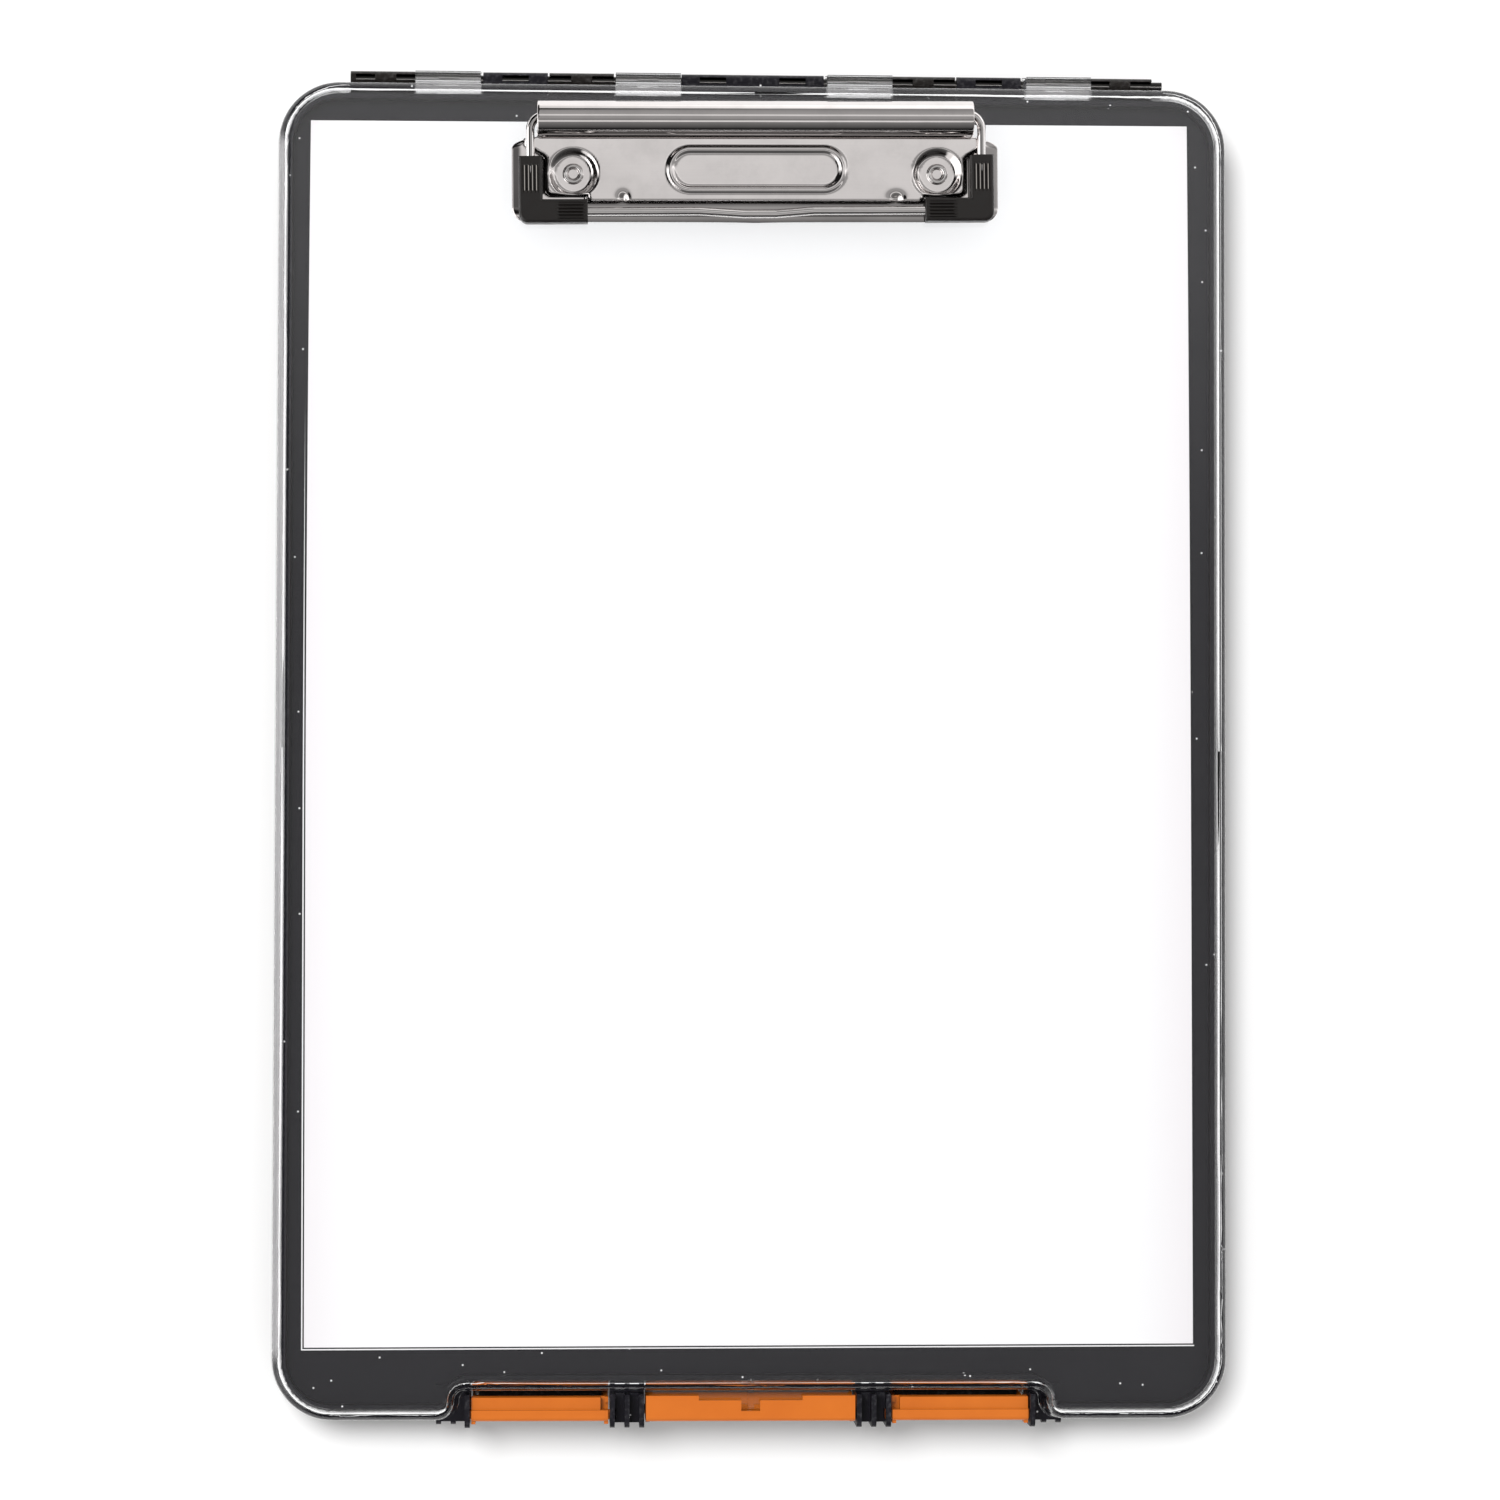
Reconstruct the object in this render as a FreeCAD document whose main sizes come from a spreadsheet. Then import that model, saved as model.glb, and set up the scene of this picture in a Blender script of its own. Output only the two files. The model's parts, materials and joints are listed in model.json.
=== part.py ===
"""Two-sided storage clipboard: a tray between a clear front lid and a black back lid.

Both lids turn about one steel pin along the top edge. Three orange latches in a recess of the
bottom edge hold them shut: the middle one holds the front lid, the outer two the back lid.
A low-profile wire clip is riveted to the front lid.

Frame: X to the right, Y towards the hinge, +Z out of the front face. The back face lies on Z = 0
and the origin is under the middle of the whole object's box.
"""

import FreeCAD
import Part
import os
import Sketcher

Vector = FreeCAD.Vector
Rotation = FreeCAD.Rotation
ALONG_X = Rotation(Vector(0, 1, 0), 90)

DIMENSIONS = {
    # outline of the case at its parting lines
    "case_width": 235.0,
    "hinge_side_y": 163.2,
    "latch_side_y": 165.7,
    "corner_radius": 15.0,
    "recess_half": 71.3,
    "recess_depth": 7.1,
    "recess_outer_radius": 4.6,
    "recess_inner_radius": 2.4,
    # heights of the three shells
    "tray_bottom": 12.0,
    "tray_top": 16.0,
    "front_top": 27.0,
    "parting_gap": 0.2,
    "wall": 1.8,
    "draft": 6.0,
    "shoulder_radius": 3.0,
    "inner_shoulder_radius": 1.2,
    # tray
    "tongue_inset": 2.5,
    "tongue_wall": 1.3,
    "tongue_rise": 2.5,
    "divider": 2.0,
    # hinge
    "axis_y": 165.3,
    "axis_z": 14.0,
    "barrel_radius": 1.8,
    "pin_radius": 1.0,
    "pin_play": 0.05,
    "pin_proud": 2.6,
    "blind_end": 1.3,
    "centre_knuckle": 35.8,
    "knuckle_pitch": 16.4,
    "knuckle_gap": 0.4,
    "lid_arm": 8.6,
    "tray_arm": 1.7,
    "arm_depth": 3.4,
    "knuckle_web": 5.2,
    "knuckle_window": 6.6,
    "window_front": 0.8,
    "window_back": 0.9,
    "window_drop": 0.35,
    # lugs that carry the latches
    "lug_tip_y": 167.1,
    "lug_gap": 0.4,
    "lug_thick": 1.2,
    "lug_pitch": 3.6,
    "lug_bottom": 4.6,
    "lug_top": 23.4,
    "lug_web_y": 166.2,
    "lug_web_half": 5.0,
    "lug_tip_radius": 1.6,
    # latches
    "latch_gap": 0.4,
    "front_latch_half": 25.6,
    "back_latch_inner": 34.8,
    "back_latch_outer": 68.2,
    "pivot_y": 164.2,
    "pivot_offset": 5.4,
    "trunnion_radius": 1.25,
    "trunnion_length": 1.6,
    "trunnion_play": 0.08,
    "latch_face": 1.35,
    "latch_edge_radius": 1.0,
    "latch_plate": 1.8,
    "latch_band": 2.7,
    "latch_reach": 14.6,
    "latch_end": 3.1,
    "boss_half": 1.9,
    "boss_depth": 4.35,
    "boss_step": 1.9,
    "boss_shelf": 0.9,
    "finger_width": 0.8,
    "finger_depth": 1.4,
    "finger_height": 1.2,
    "hook_depth": 4.9,
    "hook_thick": 1.6,
    "hook_step": 1.1,
    "hook_end_length": 12.9,
    "notch_half": 2.3,
    "notch_depth": 3.7,
    "cheek_thick": 1.0,
    "cheek_proud": 0.7,
    "cheek_length": 9.0,
    "catch_depth": 3.0,
    "catch_height": 1.8,
    "catch_play": 0.4,
    "catch_margin": 1.6,
    "guide_thick": 1.5,
    "guide_depth": 3.7,
    "guide_rise": 3.2,
    "nub_x": 66.9,
    "nub_radius": 0.5,
    "nub_height": 3.4,
    # clip
    "clip_x": 0.2,
    "clip_half": 59.8,
    "clip_front_y": 128.0,
    "clip_back_y": 147.4,
    "clip_corner": 3.0,
    "sheet": 0.8,
    "panel_half": 51.8,
    "panel_nose_half": 37.4,
    "panel_front_y": 134.3,
    "panel_nose_y": 132.7,
    "panel_rise": 1.6,
    "tube_half": 53.4,
    "tube_y": 153.1,
    "tube_radius": 4.3,
    "tube_slot": 1.5,
    "rivet_spacing": 89.4,
    "rivet_y": 140.0,
    "dimple_top_radius": 6.2,
    "dimple_radius": 4.5,
    "rivet_head_radius": 2.6,
    "rivet_head": 0.6,
    "rivet_radius": 1.6,
    "rivet_bore": 0.9,
    "washer_radius": 5.0,
    "washer": 0.6,
    # wire bail and its grips
    "wire_radius": 1.05,
    "bail_half": 55.3,
    "bail_end": 22.0,
    "bail_axis_back": 0.9,
    "bail_axis_rise": 0.3,
    "bail_front_y": 130.6,
    "bail_front_z": 29.7,
    "bail_rear_bend": 5.0,
    "bail_front_bend": 3.0,
    "grip_width": 5.8,
    "grip_side": 16.3,
    "grip_front": 16.8,
    "grip_thick": 3.9,
    "grip_float": 0.3,
    "grip_radius": 1.0,
    # sheets in the front compartment
    "paper_width": 219.6,
    "paper_bottom_y": 147.8,
    "paper_top_y": 154.6,
    "paper_thick": 0.3,
    "backing_margin": 0.7,
    "backing_thick": 0.5,
}

SLOTS_FROM_CENTRE = ("front_lid", "back_lid", "middle_tray", "front_lid", "back_lid")

doc = FreeCAD.newDocument("storage_clipboard")


class Size:
    """A length that carries its number and the spreadsheet expression it comes from."""

    def __init__(self, text, value):
        self.text = text
        self.value = value

    def join(self, sign, other, value):
        """A new Size: this one, a sign and another Size or plain number."""
        right = other.text if isinstance(other, Size) else repr(other)
        return Size(f"({self.text} {sign} {right})", value)

    def __add__(self, other):
        return self.join("+", other, self.value + number(other))

    def __sub__(self, other):
        return self.join("-", other, self.value - number(other))

    def __mul__(self, other):
        return self.join("*", other, self.value * number(other))

    def __truediv__(self, other):
        return self.join("/", other, self.value / number(other))

    def __neg__(self):
        return Size(f"(0 - {self.text})", -self.value)


def number(size):
    """The plain number of a Size or of a number."""
    return size.value if isinstance(size, Size) else size


def text(size):
    """The expression of a Size or of a number."""
    return size.text if isinstance(size, Size) else repr(size)


def make_sheet():
    """Writes the driving dimensions into a spreadsheet and returns them as named Sizes."""
    sheet = doc.addObject("Spreadsheet::Sheet", "dims")
    for row, (name, value) in enumerate(DIMENSIONS.items(), start=1):
        sheet.set(f"A{row}", name)
        sheet.set(f"B{row}", str(value))
        sheet.setAlias(f"B{row}", name)
    doc.recompute()
    return {name: Size(f"dims.{name}", value) for name, value in DIMENSIONS.items()}


D = make_sheet()
ZERO = Size("0", 0.0)


def bind(thing, name, size):
    """Binds one property of an object to the spreadsheet."""
    thing.setExpression(name, text(size))


def place(thing, x, y, z, rotation=None):
    """Puts an object at x, y, z, each bound to the spreadsheet."""
    turned = rotation or Rotation()
    thing.Placement = FreeCAD.Placement(Vector(number(x), number(y), number(z)), turned)
    bind(thing, "Placement.Base.x", x)
    bind(thing, "Placement.Base.y", y)
    bind(thing, "Placement.Base.z", z)
    return thing


def box(x, y, z):
    """A block between three pairs of bounds."""
    made = doc.addObject("Part::Box", "block")
    bind(made, "Length", x[1] - x[0])
    bind(made, "Width", y[1] - y[0])
    bind(made, "Height", z[1] - z[0])
    return place(made, x[0], y[0], z[0])


def rod(x, y, z, radius):
    """A cylinder along X between the two bounds in x."""
    made = doc.addObject("Part::Cylinder", "rod")
    bind(made, "Radius", radius)
    bind(made, "Height", x[1] - x[0])
    return place(made, x[0], y, z, ALONG_X)


def post(x, y, z, radius):
    """A cylinder along Z between the two bounds in z."""
    made = doc.addObject("Part::Cylinder", "post")
    bind(made, "Radius", radius)
    bind(made, "Height", z[1] - z[0])
    return place(made, x, y, z[0])


def cone(x, y, z, low, high):
    """A cone along Z, of radius low at its base and high at its top."""
    made = doc.addObject("Part::Cone", "cone")
    bind(made, "Radius1", low)
    bind(made, "Radius2", high)
    bind(made, "Height", z[1] - z[0])
    return place(made, x, y, z[0])


def fuse(things):
    """One solid from several that touch or overlap."""
    made = doc.addObject("Part::MultiFuse", "joined")
    made.Shapes = things
    made.Refine = True
    doc.recompute()
    return made


def cut(base, tools):
    """The base without the tools."""
    made = doc.addObject("Part::Cut", "cut")
    made.Base = base
    made.Tool = tools[0] if len(tools) == 1 else fuse(tools)
    made.Refine = True
    doc.recompute()
    return made


def origin_plane(body, role):
    """One of a body's own origin planes."""
    return next(part for part in body.Origin.OriginFeatures if part.Role == role)


def polygon_sketch(body, role, offset, points):
    """A closed polygon on an origin plane of the body, each corner bound to the spreadsheet."""
    sketch = body.newObject("Sketcher::SketchObject", "outline")
    sketch.AttachmentSupport = [(origin_plane(body, role), "")]
    sketch.MapMode = "FlatFace"
    bind(sketch, "AttachmentOffset.Base.z", offset)
    corners = [Vector(number(u), number(v), 0) for u, v in points]
    for start, end in zip(corners, corners[1:] + corners[:1]):
        sketch.addGeometry(Part.LineSegment(start, end))
    for line in range(len(points)):
        after = (line + 1) % len(points)
        sketch.addConstraint(Sketcher.Constraint("Coincident", line, 2, after, 1))
    for line, point in enumerate(points):
        for kind, size in zip(("DistanceX", "DistanceY"), point):
            made = sketch.addConstraint(Sketcher.Constraint(kind, -1, 1, line, 1, number(size)))
            sketch.setExpression(f"Constraints[{made}]", text(size))
    doc.recompute()
    return sketch


def pad(body, sketch, length, taper=None, down=False):
    """Pads a sketch, with draft if a taper is given."""
    made = body.newObject("PartDesign::Pad", "pad")
    made.Profile = sketch
    bind(made, "Length", length)
    if taper is not None:
        bind(made, "TaperAngle", taper)
    made.Reversed = down
    doc.recompute()
    return made


def round_edges(body, base, chosen, radius):
    """Rounds the edges of the body's last feature for which chosen(edge) is true."""
    names = [f"Edge{i}" for i, edge in enumerate(base.Shape.Edges, start=1) if chosen(edge)]
    made = body.newObject("PartDesign::Fillet", "rounding")
    made.Base = (base, names)
    bind(made, "Radius", radius)
    doc.recompute()
    return made


def upright_near(x, y, reach=3.0):
    """Tells whether an edge runs up the shell near x, y, on either side of the middle."""

    def chosen(edge):
        if len(edge.Vertexes) != 2:
            return False
        low, high = sorted((v.Point for v in edge.Vertexes), key=lambda p: p.z)
        near = abs(abs(low.x) - number(x)) < reach and abs(low.y - number(y)) < reach
        return near and high.z - low.z > 1.0 and abs(high.x - low.x) < reach

    return chosen


def at_height(z):
    """Tells whether an edge lies flat at height z."""
    return lambda edge: all(abs(v.Z - number(z)) < 1e-4 for v in edge.Vertexes)


def case_block(inset, z_open, z_end, taper, shoulder=None):
    """A block with the case's outline, set in by inset at z_open and drafted towards z_end."""
    low = -D["latch_side_y"] + inset
    high = D["hinge_side_y"] - inset
    side = D["case_width"] / 2 - inset
    notch = D["recess_half"] + inset
    step = low + D["recess_depth"]
    points = [
        (-side, low), (-notch, low), (-notch, step), (notch, step),
        (notch, low), (side, low), (side, high), (-side, high),
    ]
    body = doc.addObject("PartDesign::Body", "case_block")
    sketch = polygon_sketch(body, "XY_Plane", z_open, points)
    down = number(z_end) < number(z_open)
    length = z_open - z_end if down else z_end - z_open
    last = pad(body, sketch, length, -taper if number(taper) else None, down)
    corner = D["corner_radius"] - inset
    last = round_edges(body, last, upright_near(side, low), corner)
    last = round_edges(body, last, upright_near(side, high), corner)
    outer = D["recess_outer_radius"] - inset
    if number(outer) > 0.1:
        last = round_edges(body, last, upright_near(notch, low), outer)
    last = round_edges(body, last, upright_near(notch, step), D["recess_inner_radius"] + inset)
    if shoulder is not None:
        last = round_edges(body, last, at_height(z_end), shoulder)
    return body


def knuckle_spans(owner):
    """The X bounds of each hinge knuckle that belongs to one shell."""
    gap = D["knuckle_gap"] / 2
    half = D["centre_knuckle"] / 2
    spans = [(-half + gap, half - gap)] if owner == "middle_tray" else []
    for place_out, name in enumerate(SLOTS_FROM_CENTRE):
        if name == owner:
            start = half + D["knuckle_pitch"] * place_out
            end = start + D["knuckle_pitch"]
            spans += [(start + gap, end - gap), (-end + gap, -start - gap)]
    return spans


def hinge_arms(owner, arm):
    """The barrels of one shell's knuckles and the blocks that join them to its wall."""
    made = []
    for span in knuckle_spans(owner):
        made.append(rod(span, D["axis_y"], D["axis_z"], D["barrel_radius"]))
        made.append(box(span, (D["axis_y"] - D["arm_depth"], D["axis_y"]), arm))
    return made


def bore_span(span):
    """Where the pin's bore runs in a knuckle: right through, but blind at the far left end."""
    left_end = number(span[0]) < -number(knuckle_end()) + number(D["knuckle_gap"])
    return (span[0] + D["blind_end"], span[1]) if left_end else span


def knuckle_end():
    """Distance from the middle of the hinge to the outer end of its last knuckle."""
    outer = D["centre_knuckle"] / 2 + D["knuckle_pitch"] * len(SLOTS_FROM_CENTRE)
    return outer - D["knuckle_gap"] / 2


def window_spans(span):
    """X bounds of the two windows in a lid's knuckle, one on each side of its middle web."""
    middle = (span[0] + span[1]) / 2
    web = D["knuckle_web"] / 2
    return [(span[0], middle - web), (middle + web, span[1])]


def tray_window_spans(span):
    """X bounds of the windows in a knuckle of the tray: one in its middle, or two if it is long."""
    wide = D["knuckle_window"]
    if number(span[1]) - number(span[0]) > number(D["knuckle_pitch"]):
        return [(-wide * 2, -wide), (wide, wide * 2)]
    middle = (span[0] + span[1]) / 2
    return [(middle - wide / 2, middle + wide / 2)]


def hinge_cuts(owner):
    """The pin's bores, and the windows through which the top of the pin shows."""
    made = []
    depth = (D["axis_y"] - D["window_front"], D["axis_y"] + D["window_back"])
    height = (D["axis_z"] + D["window_drop"], D["axis_z"] + D["barrel_radius"] * 1.2)
    windows = tray_window_spans if owner == "middle_tray" else window_spans
    for span in map(bore_span, knuckle_spans(owner)):
        made.append(rod(span, D["axis_y"], D["axis_z"], D["pin_radius"] + D["pin_play"]))
        made += [box(x, depth, height) for x in windows(span)]
    return made


def sides(x):
    """A pair of X bounds and its mirror image."""
    return [x, (-x[1], -x[0])]


def recess_wall():
    """Y of the case's wall in the latch recess, at the parting lines."""
    return D["recess_depth"] - D["latch_side_y"]


def lid_shell(z_open, z_end):
    """The outer and the inner block of a lid that opens at z_open and is closed at z_end."""
    outer = case_block(ZERO, z_open, z_end, D["draft"], D["shoulder_radius"])
    down = number(z_end) < number(z_open)
    floor = z_end + D["wall"] if down else z_end - D["wall"]
    inner = case_block(D["wall"], z_open, floor, D["draft"], D["inner_shoulder_radius"])
    return outer, inner


def lid_knuckles(owner, arm, stub):
    """A lid's knuckles: its barrels and arms, and stubs from the arms down to the pin's height."""
    stub_y = (D["axis_y"] - D["barrel_radius"] * 0.8, D["axis_y"])
    return hinge_arms(owner, arm) + [box(span, stub_y, stub) for span in knuckle_spans(owner)]


def catch_rib(x, low):
    """The rib on a lid's recess wall that a latch hooks over."""
    wall = recess_wall()
    return box(x, (wall - D["catch_depth"], wall + D["wall"]), (low, low + D["catch_height"]))


def make_front_lid():
    """Clear lid: knuckles, catch rib with its guide, two locating nubs and two rivet holes."""
    z_open = D["tray_top"] + D["parting_gap"]
    outer, inner = lid_shell(z_open, D["front_top"])
    barrels = lid_knuckles("front_lid", (z_open, z_open + D["lid_arm"]), (D["axis_z"], z_open))
    catch = front_hook_underside() - D["catch_play"] - D["catch_height"]
    half = D["front_latch_half"] - D["catch_margin"]
    wall = recess_wall()
    guide_z = (catch, catch + D["catch_height"] + D["guide_rise"])
    guide_half = D["guide_thick"] / 2
    guide_y = (wall - D["guide_depth"], wall + D["wall"])
    guide = box((-guide_half, guide_half), guide_y, guide_z)
    nubs = [
        post(x, wall - D["nub_radius"] / 2, (z_open, z_open + D["nub_height"]), D["nub_radius"])
        for x in (D["nub_x"], -D["nub_x"])
    ]
    through = (D["front_top"] - D["wall"] * 2, D["front_top"] + D["wall"])
    holes = [post(x, D["rivet_y"], through, D["rivet_radius"]) for x in rivet_centres()]
    solid = fuse([outer] + barrels + [catch_rib((-half, half), catch), guide] + nubs)
    return cut(solid, [inner] + hinge_cuts("front_lid") + holes)


def make_back_lid():
    """Black lid, the mirror of the front one, with two catch ribs for the outer latches."""
    z_open = D["tray_bottom"] - D["parting_gap"]
    outer, inner = lid_shell(z_open, ZERO)
    barrels = lid_knuckles("back_lid", (z_open - D["lid_arm"], z_open), (z_open, D["axis_z"]))
    catch = D["axis_z"] * 2 - front_hook_underside() + D["catch_play"]
    span = (D["back_latch_inner"] + D["catch_margin"], D["back_latch_outer"] - D["catch_margin"])
    ribs = [catch_rib(x, catch) for x in sides(span)]
    return cut(fuse([outer] + barrels + ribs), [inner] + hinge_cuts("back_lid"))


def lug_spans():
    """X bounds of the tall lugs on the right: three inside, and one at the outer latch's end."""
    start = D["front_latch_half"] + D["latch_gap"]
    thick = D["lug_thick"]
    inner = [(start + D["lug_pitch"] * i, start + D["lug_pitch"] * i + thick) for i in range(3)]
    outer = D["back_latch_outer"] + D["latch_gap"]
    return inner, (outer, outer + thick)


def tapered_lug(x, z):
    """A lug plate with a rounded tip, between two bounds in X and two in Z."""
    tip = -D["lug_tip_y"]
    root = recess_wall() + D["tongue_wall"]
    body = doc.addObject("PartDesign::Body", "lug")
    points = [(tip, z[0]), (root, z[0]), (root, z[1]), (tip, z[1])]
    sketch = polygon_sketch(body, "YZ_Plane", x[0], points)
    last = pad(body, sketch, x[1] - x[0])
    round_edges(body, last, along_x_at(tip), D["lug_tip_radius"])
    return body


def along_x_at(y):
    """Tells whether an edge runs along X at y."""

    def chosen(edge):
        along = abs(edge.Vertexes[0].X - edge.Vertexes[-1].X) > 0.1
        return along and all(abs(v.Y - number(y)) < 1e-4 for v in edge.Vertexes)

    return chosen


def latch_lugs():
    """The lugs and the webs between them, clear of both lids."""
    inner, outer = lug_spans()
    tall = (D["lug_bottom"], D["lug_top"])
    level = (D["tray_bottom"], D["tray_top"])
    made = []
    for span in inner + [outer]:
        made += [tapered_lug(x, tall) for x in sides(span)]
    for step in (1, 2):
        shift = D["lug_pitch"] * step
        made += [tapered_lug(x, level) for x in sides((outer[0] + shift, outer[1] + shift))]
    wall = recess_wall()
    web_y = (-D["lug_web_y"], wall + D["tongue_wall"])
    web_z = (D["axis_z"] - D["lug_web_half"], D["axis_z"] + D["lug_web_half"])
    made += [box(x, web_y, web_z) for x in sides((inner[0][0], inner[2][1]))]
    end = (outer[0], outer[1] + D["lug_pitch"] * 2)
    made += [box(x, web_y, level) for x in sides(end)]
    room_x = (-D["recess_half"], D["recess_half"])
    room_y = (wall - D["lug_gap"], wall + D["tongue_wall"] + 1)
    above = box(room_x, room_y, (D["tray_top"], D["lug_top"] + 1))
    below = box(room_x, room_y, (D["lug_bottom"] - 1, D["tray_bottom"]))
    return cut(fuse(made), [above, below])


def latch_bores():
    """The holes in the lugs for the latches' trunnions."""
    radius = D["trunnion_radius"] + D["trunnion_play"]
    depth = D["trunnion_length"] + D["latch_gap"]
    front_z = D["axis_z"] - D["pivot_offset"]
    back_z = D["axis_z"] + D["pivot_offset"]
    ends = [
        (D["front_latch_half"], D["front_latch_half"] + depth, front_z),
        (D["back_latch_outer"], D["back_latch_outer"] + depth, back_z),
        (D["back_latch_inner"] - depth, D["back_latch_inner"], back_z),
    ]
    return [rod(x, -D["pivot_y"], z, radius) for low, high, z in ends for x in sides((low, high))]


def make_middle_tray():
    """Black tray: rim, tongues, divider, hinge knuckles and the lugs that carry the latches."""
    rim = case_block(ZERO, D["tray_bottom"], D["tray_top"], ZERO)
    tongue_low = D["tray_bottom"] - D["tongue_rise"]
    tongue_high = D["tray_top"] + D["tongue_rise"]
    tongue = case_block(D["tongue_inset"], tongue_low, tongue_high, ZERO)
    inside = D["tongue_inset"] + D["tongue_wall"]
    half = D["divider"] / 2
    upper = case_block(inside, D["axis_z"] + half, tongue_high + 1, ZERO)
    lower = case_block(inside, tongue_low - 1, D["axis_z"] - half, ZERO)
    shell = cut(fuse([rim, tongue]), [upper, lower])
    arm = (D["axis_z"] - D["tray_arm"], D["axis_z"] + D["tray_arm"])
    solid = fuse([shell, latch_lugs()] + hinge_arms("middle_tray", arm))
    return cut(solid, hinge_cuts("middle_tray") + latch_bores())


def front_hook_underside():
    """Height of the face of the front latch's hook that bears on the lid's catch rib."""
    return D["axis_z"] - D["pivot_offset"] + D["latch_reach"] - D["hook_thick"]


def make_latch(x, pivot_z, up):
    """A latch between two bounds in X, with its hook up (1) or down (-1) from the pivot."""
    pivot_y = -D["pivot_y"]
    face = pivot_y - D["latch_face"]
    plate = face + D["latch_plate"]
    band = face + D["latch_band"]
    hook = pivot_y + D["hook_depth"]
    boss = pivot_y + D["boss_depth"]

    def level(distance):
        return pivot_z + distance * up

    under = D["latch_reach"] - D["hook_thick"]
    points = [
        (face, level(-D["latch_end"])), (band, level(-D["latch_end"])),
        (band, level(-D["boss_half"])), (boss, level(-D["boss_half"])),
        (boss, level(D["boss_half"])), (plate, level(D["boss_half"] * 2)),
        (plate, level(under)), (hook, level(under)),
        (hook, level(D["latch_reach"])), (face, level(D["latch_reach"])),
    ]
    body = doc.addObject("PartDesign::Body", "latch")
    sketch = polygon_sketch(body, "YZ_Plane", x[0], points)
    last = pad(body, sketch, x[1] - x[0])
    round_edges(body, last, along_x_at(face), D["latch_edge_radius"])
    out = D["trunnion_length"]
    into = D["boss_step"] * 2
    parts = [
        body,
        rod((x[0] - out, x[0] + into), pivot_y, pivot_z, D["trunnion_radius"]),
        rod((x[1] - into, x[1] + out), pivot_y, pivot_z, D["trunnion_radius"]),
    ]
    cheek_y = (face - D["cheek_proud"], plate)
    cheek_z = sorted((level(-D["latch_end"] + 1), level(D["cheek_length"])), key=number)
    thick = D["cheek_thick"]
    parts += [box(ends, cheek_y, cheek_z) for ends in ((x[0], x[0] + thick), (x[1] - thick, x[1]))]
    return fuse(parts)


def make_front_latch():
    """Middle latch: its hook steps back between two longer ends and clears the lid's guide."""
    half = D["front_latch_half"]
    latch = make_latch((-half, half), D["axis_z"] - D["pivot_offset"], 1)
    hook = -D["pivot_y"] + D["hook_depth"]
    z = (front_hook_underside() - 1, front_hook_underside() + D["hook_thick"] + 1)
    step_half = half - D["hook_end_length"]
    step = box((-step_half, step_half), (hook - D["hook_step"], hook + 1), z)
    notch = box((-D["notch_half"], D["notch_half"]), (hook - D["notch_depth"], hook + 1), z)
    return cut(latch, [step, notch])


def make_back_latch(side):
    """Outer latch on the left (-1) or the right (1), hooked over the back lid's catch rib."""
    inner = D["back_latch_inner"]
    outer = D["back_latch_outer"]
    pivot_z = D["axis_z"] + D["pivot_offset"]
    latch = make_latch((inner, outer) if side > 0 else (-outer, -inner), pivot_z, -1)
    band = D["latch_band"] - D["pivot_y"] - D["latch_face"]
    boss = D["boss_depth"] - D["pivot_y"]
    shelf = pivot_z - D["boss_shelf"]
    step_x = sides((inner - 1, inner + D["boss_step"]))[side < 0]
    step = box(step_x, (band, boss + 1), (shelf, pivot_z + D["latch_end"]))
    finger_x = sides((inner, inner + D["finger_width"]))[side < 0]
    finger_z = (shelf - D["finger_height"], shelf + D["finger_height"])
    finger = box(finger_x, (boss - D["finger_depth"], boss), finger_z)
    return fuse([cut(latch, [step]), finger])


def make_hinge_pin():
    """Steel pin through all eleven knuckles, proud of the last one on the right."""
    left = -knuckle_end() + D["blind_end"] + D["pin_play"]
    return rod((left, knuckle_end() + D["pin_proud"]), D["axis_y"], D["axis_z"], D["pin_radius"])


def rivet_centres():
    """X of the clip's two rivets, left and right."""
    half = D["rivet_spacing"] / 2
    return [D["clip_x"] - half, D["clip_x"] + half]


def clip_flange():
    """The flat foot of the clip's base, with rounded corners."""
    body = doc.addObject("PartDesign::Body", "clip_flange")
    left = D["clip_x"] - D["clip_half"]
    right = D["clip_x"] + D["clip_half"]
    points = [
        (left, D["clip_front_y"]), (right, D["clip_front_y"]),
        (right, D["clip_back_y"]), (left, D["clip_back_y"]),
    ]
    sketch = polygon_sketch(body, "XY_Plane", D["front_top"], points)
    last = pad(body, sketch, D["sheet"])

    def upright(edge):
        return abs(edge.Vertexes[0].Z - edge.Vertexes[-1].Z) > 0.5

    round_edges(body, last, upright, D["clip_corner"])
    return body


def clip_panel(inset, z):
    """A block for the raised panel, with its narrower nose, set in by inset."""
    half = D["panel_half"] - inset
    nose = D["panel_nose_half"] - inset
    middle = D["clip_x"]
    back = D["tube_y"] - D["tube_radius"] / 2 - inset
    front = D["panel_front_y"] + inset
    return [
        box((middle - half, middle + half), (front, back), z),
        box((middle - nose, middle + nose), (D["panel_nose_y"] + inset, back), z),
    ]


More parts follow.
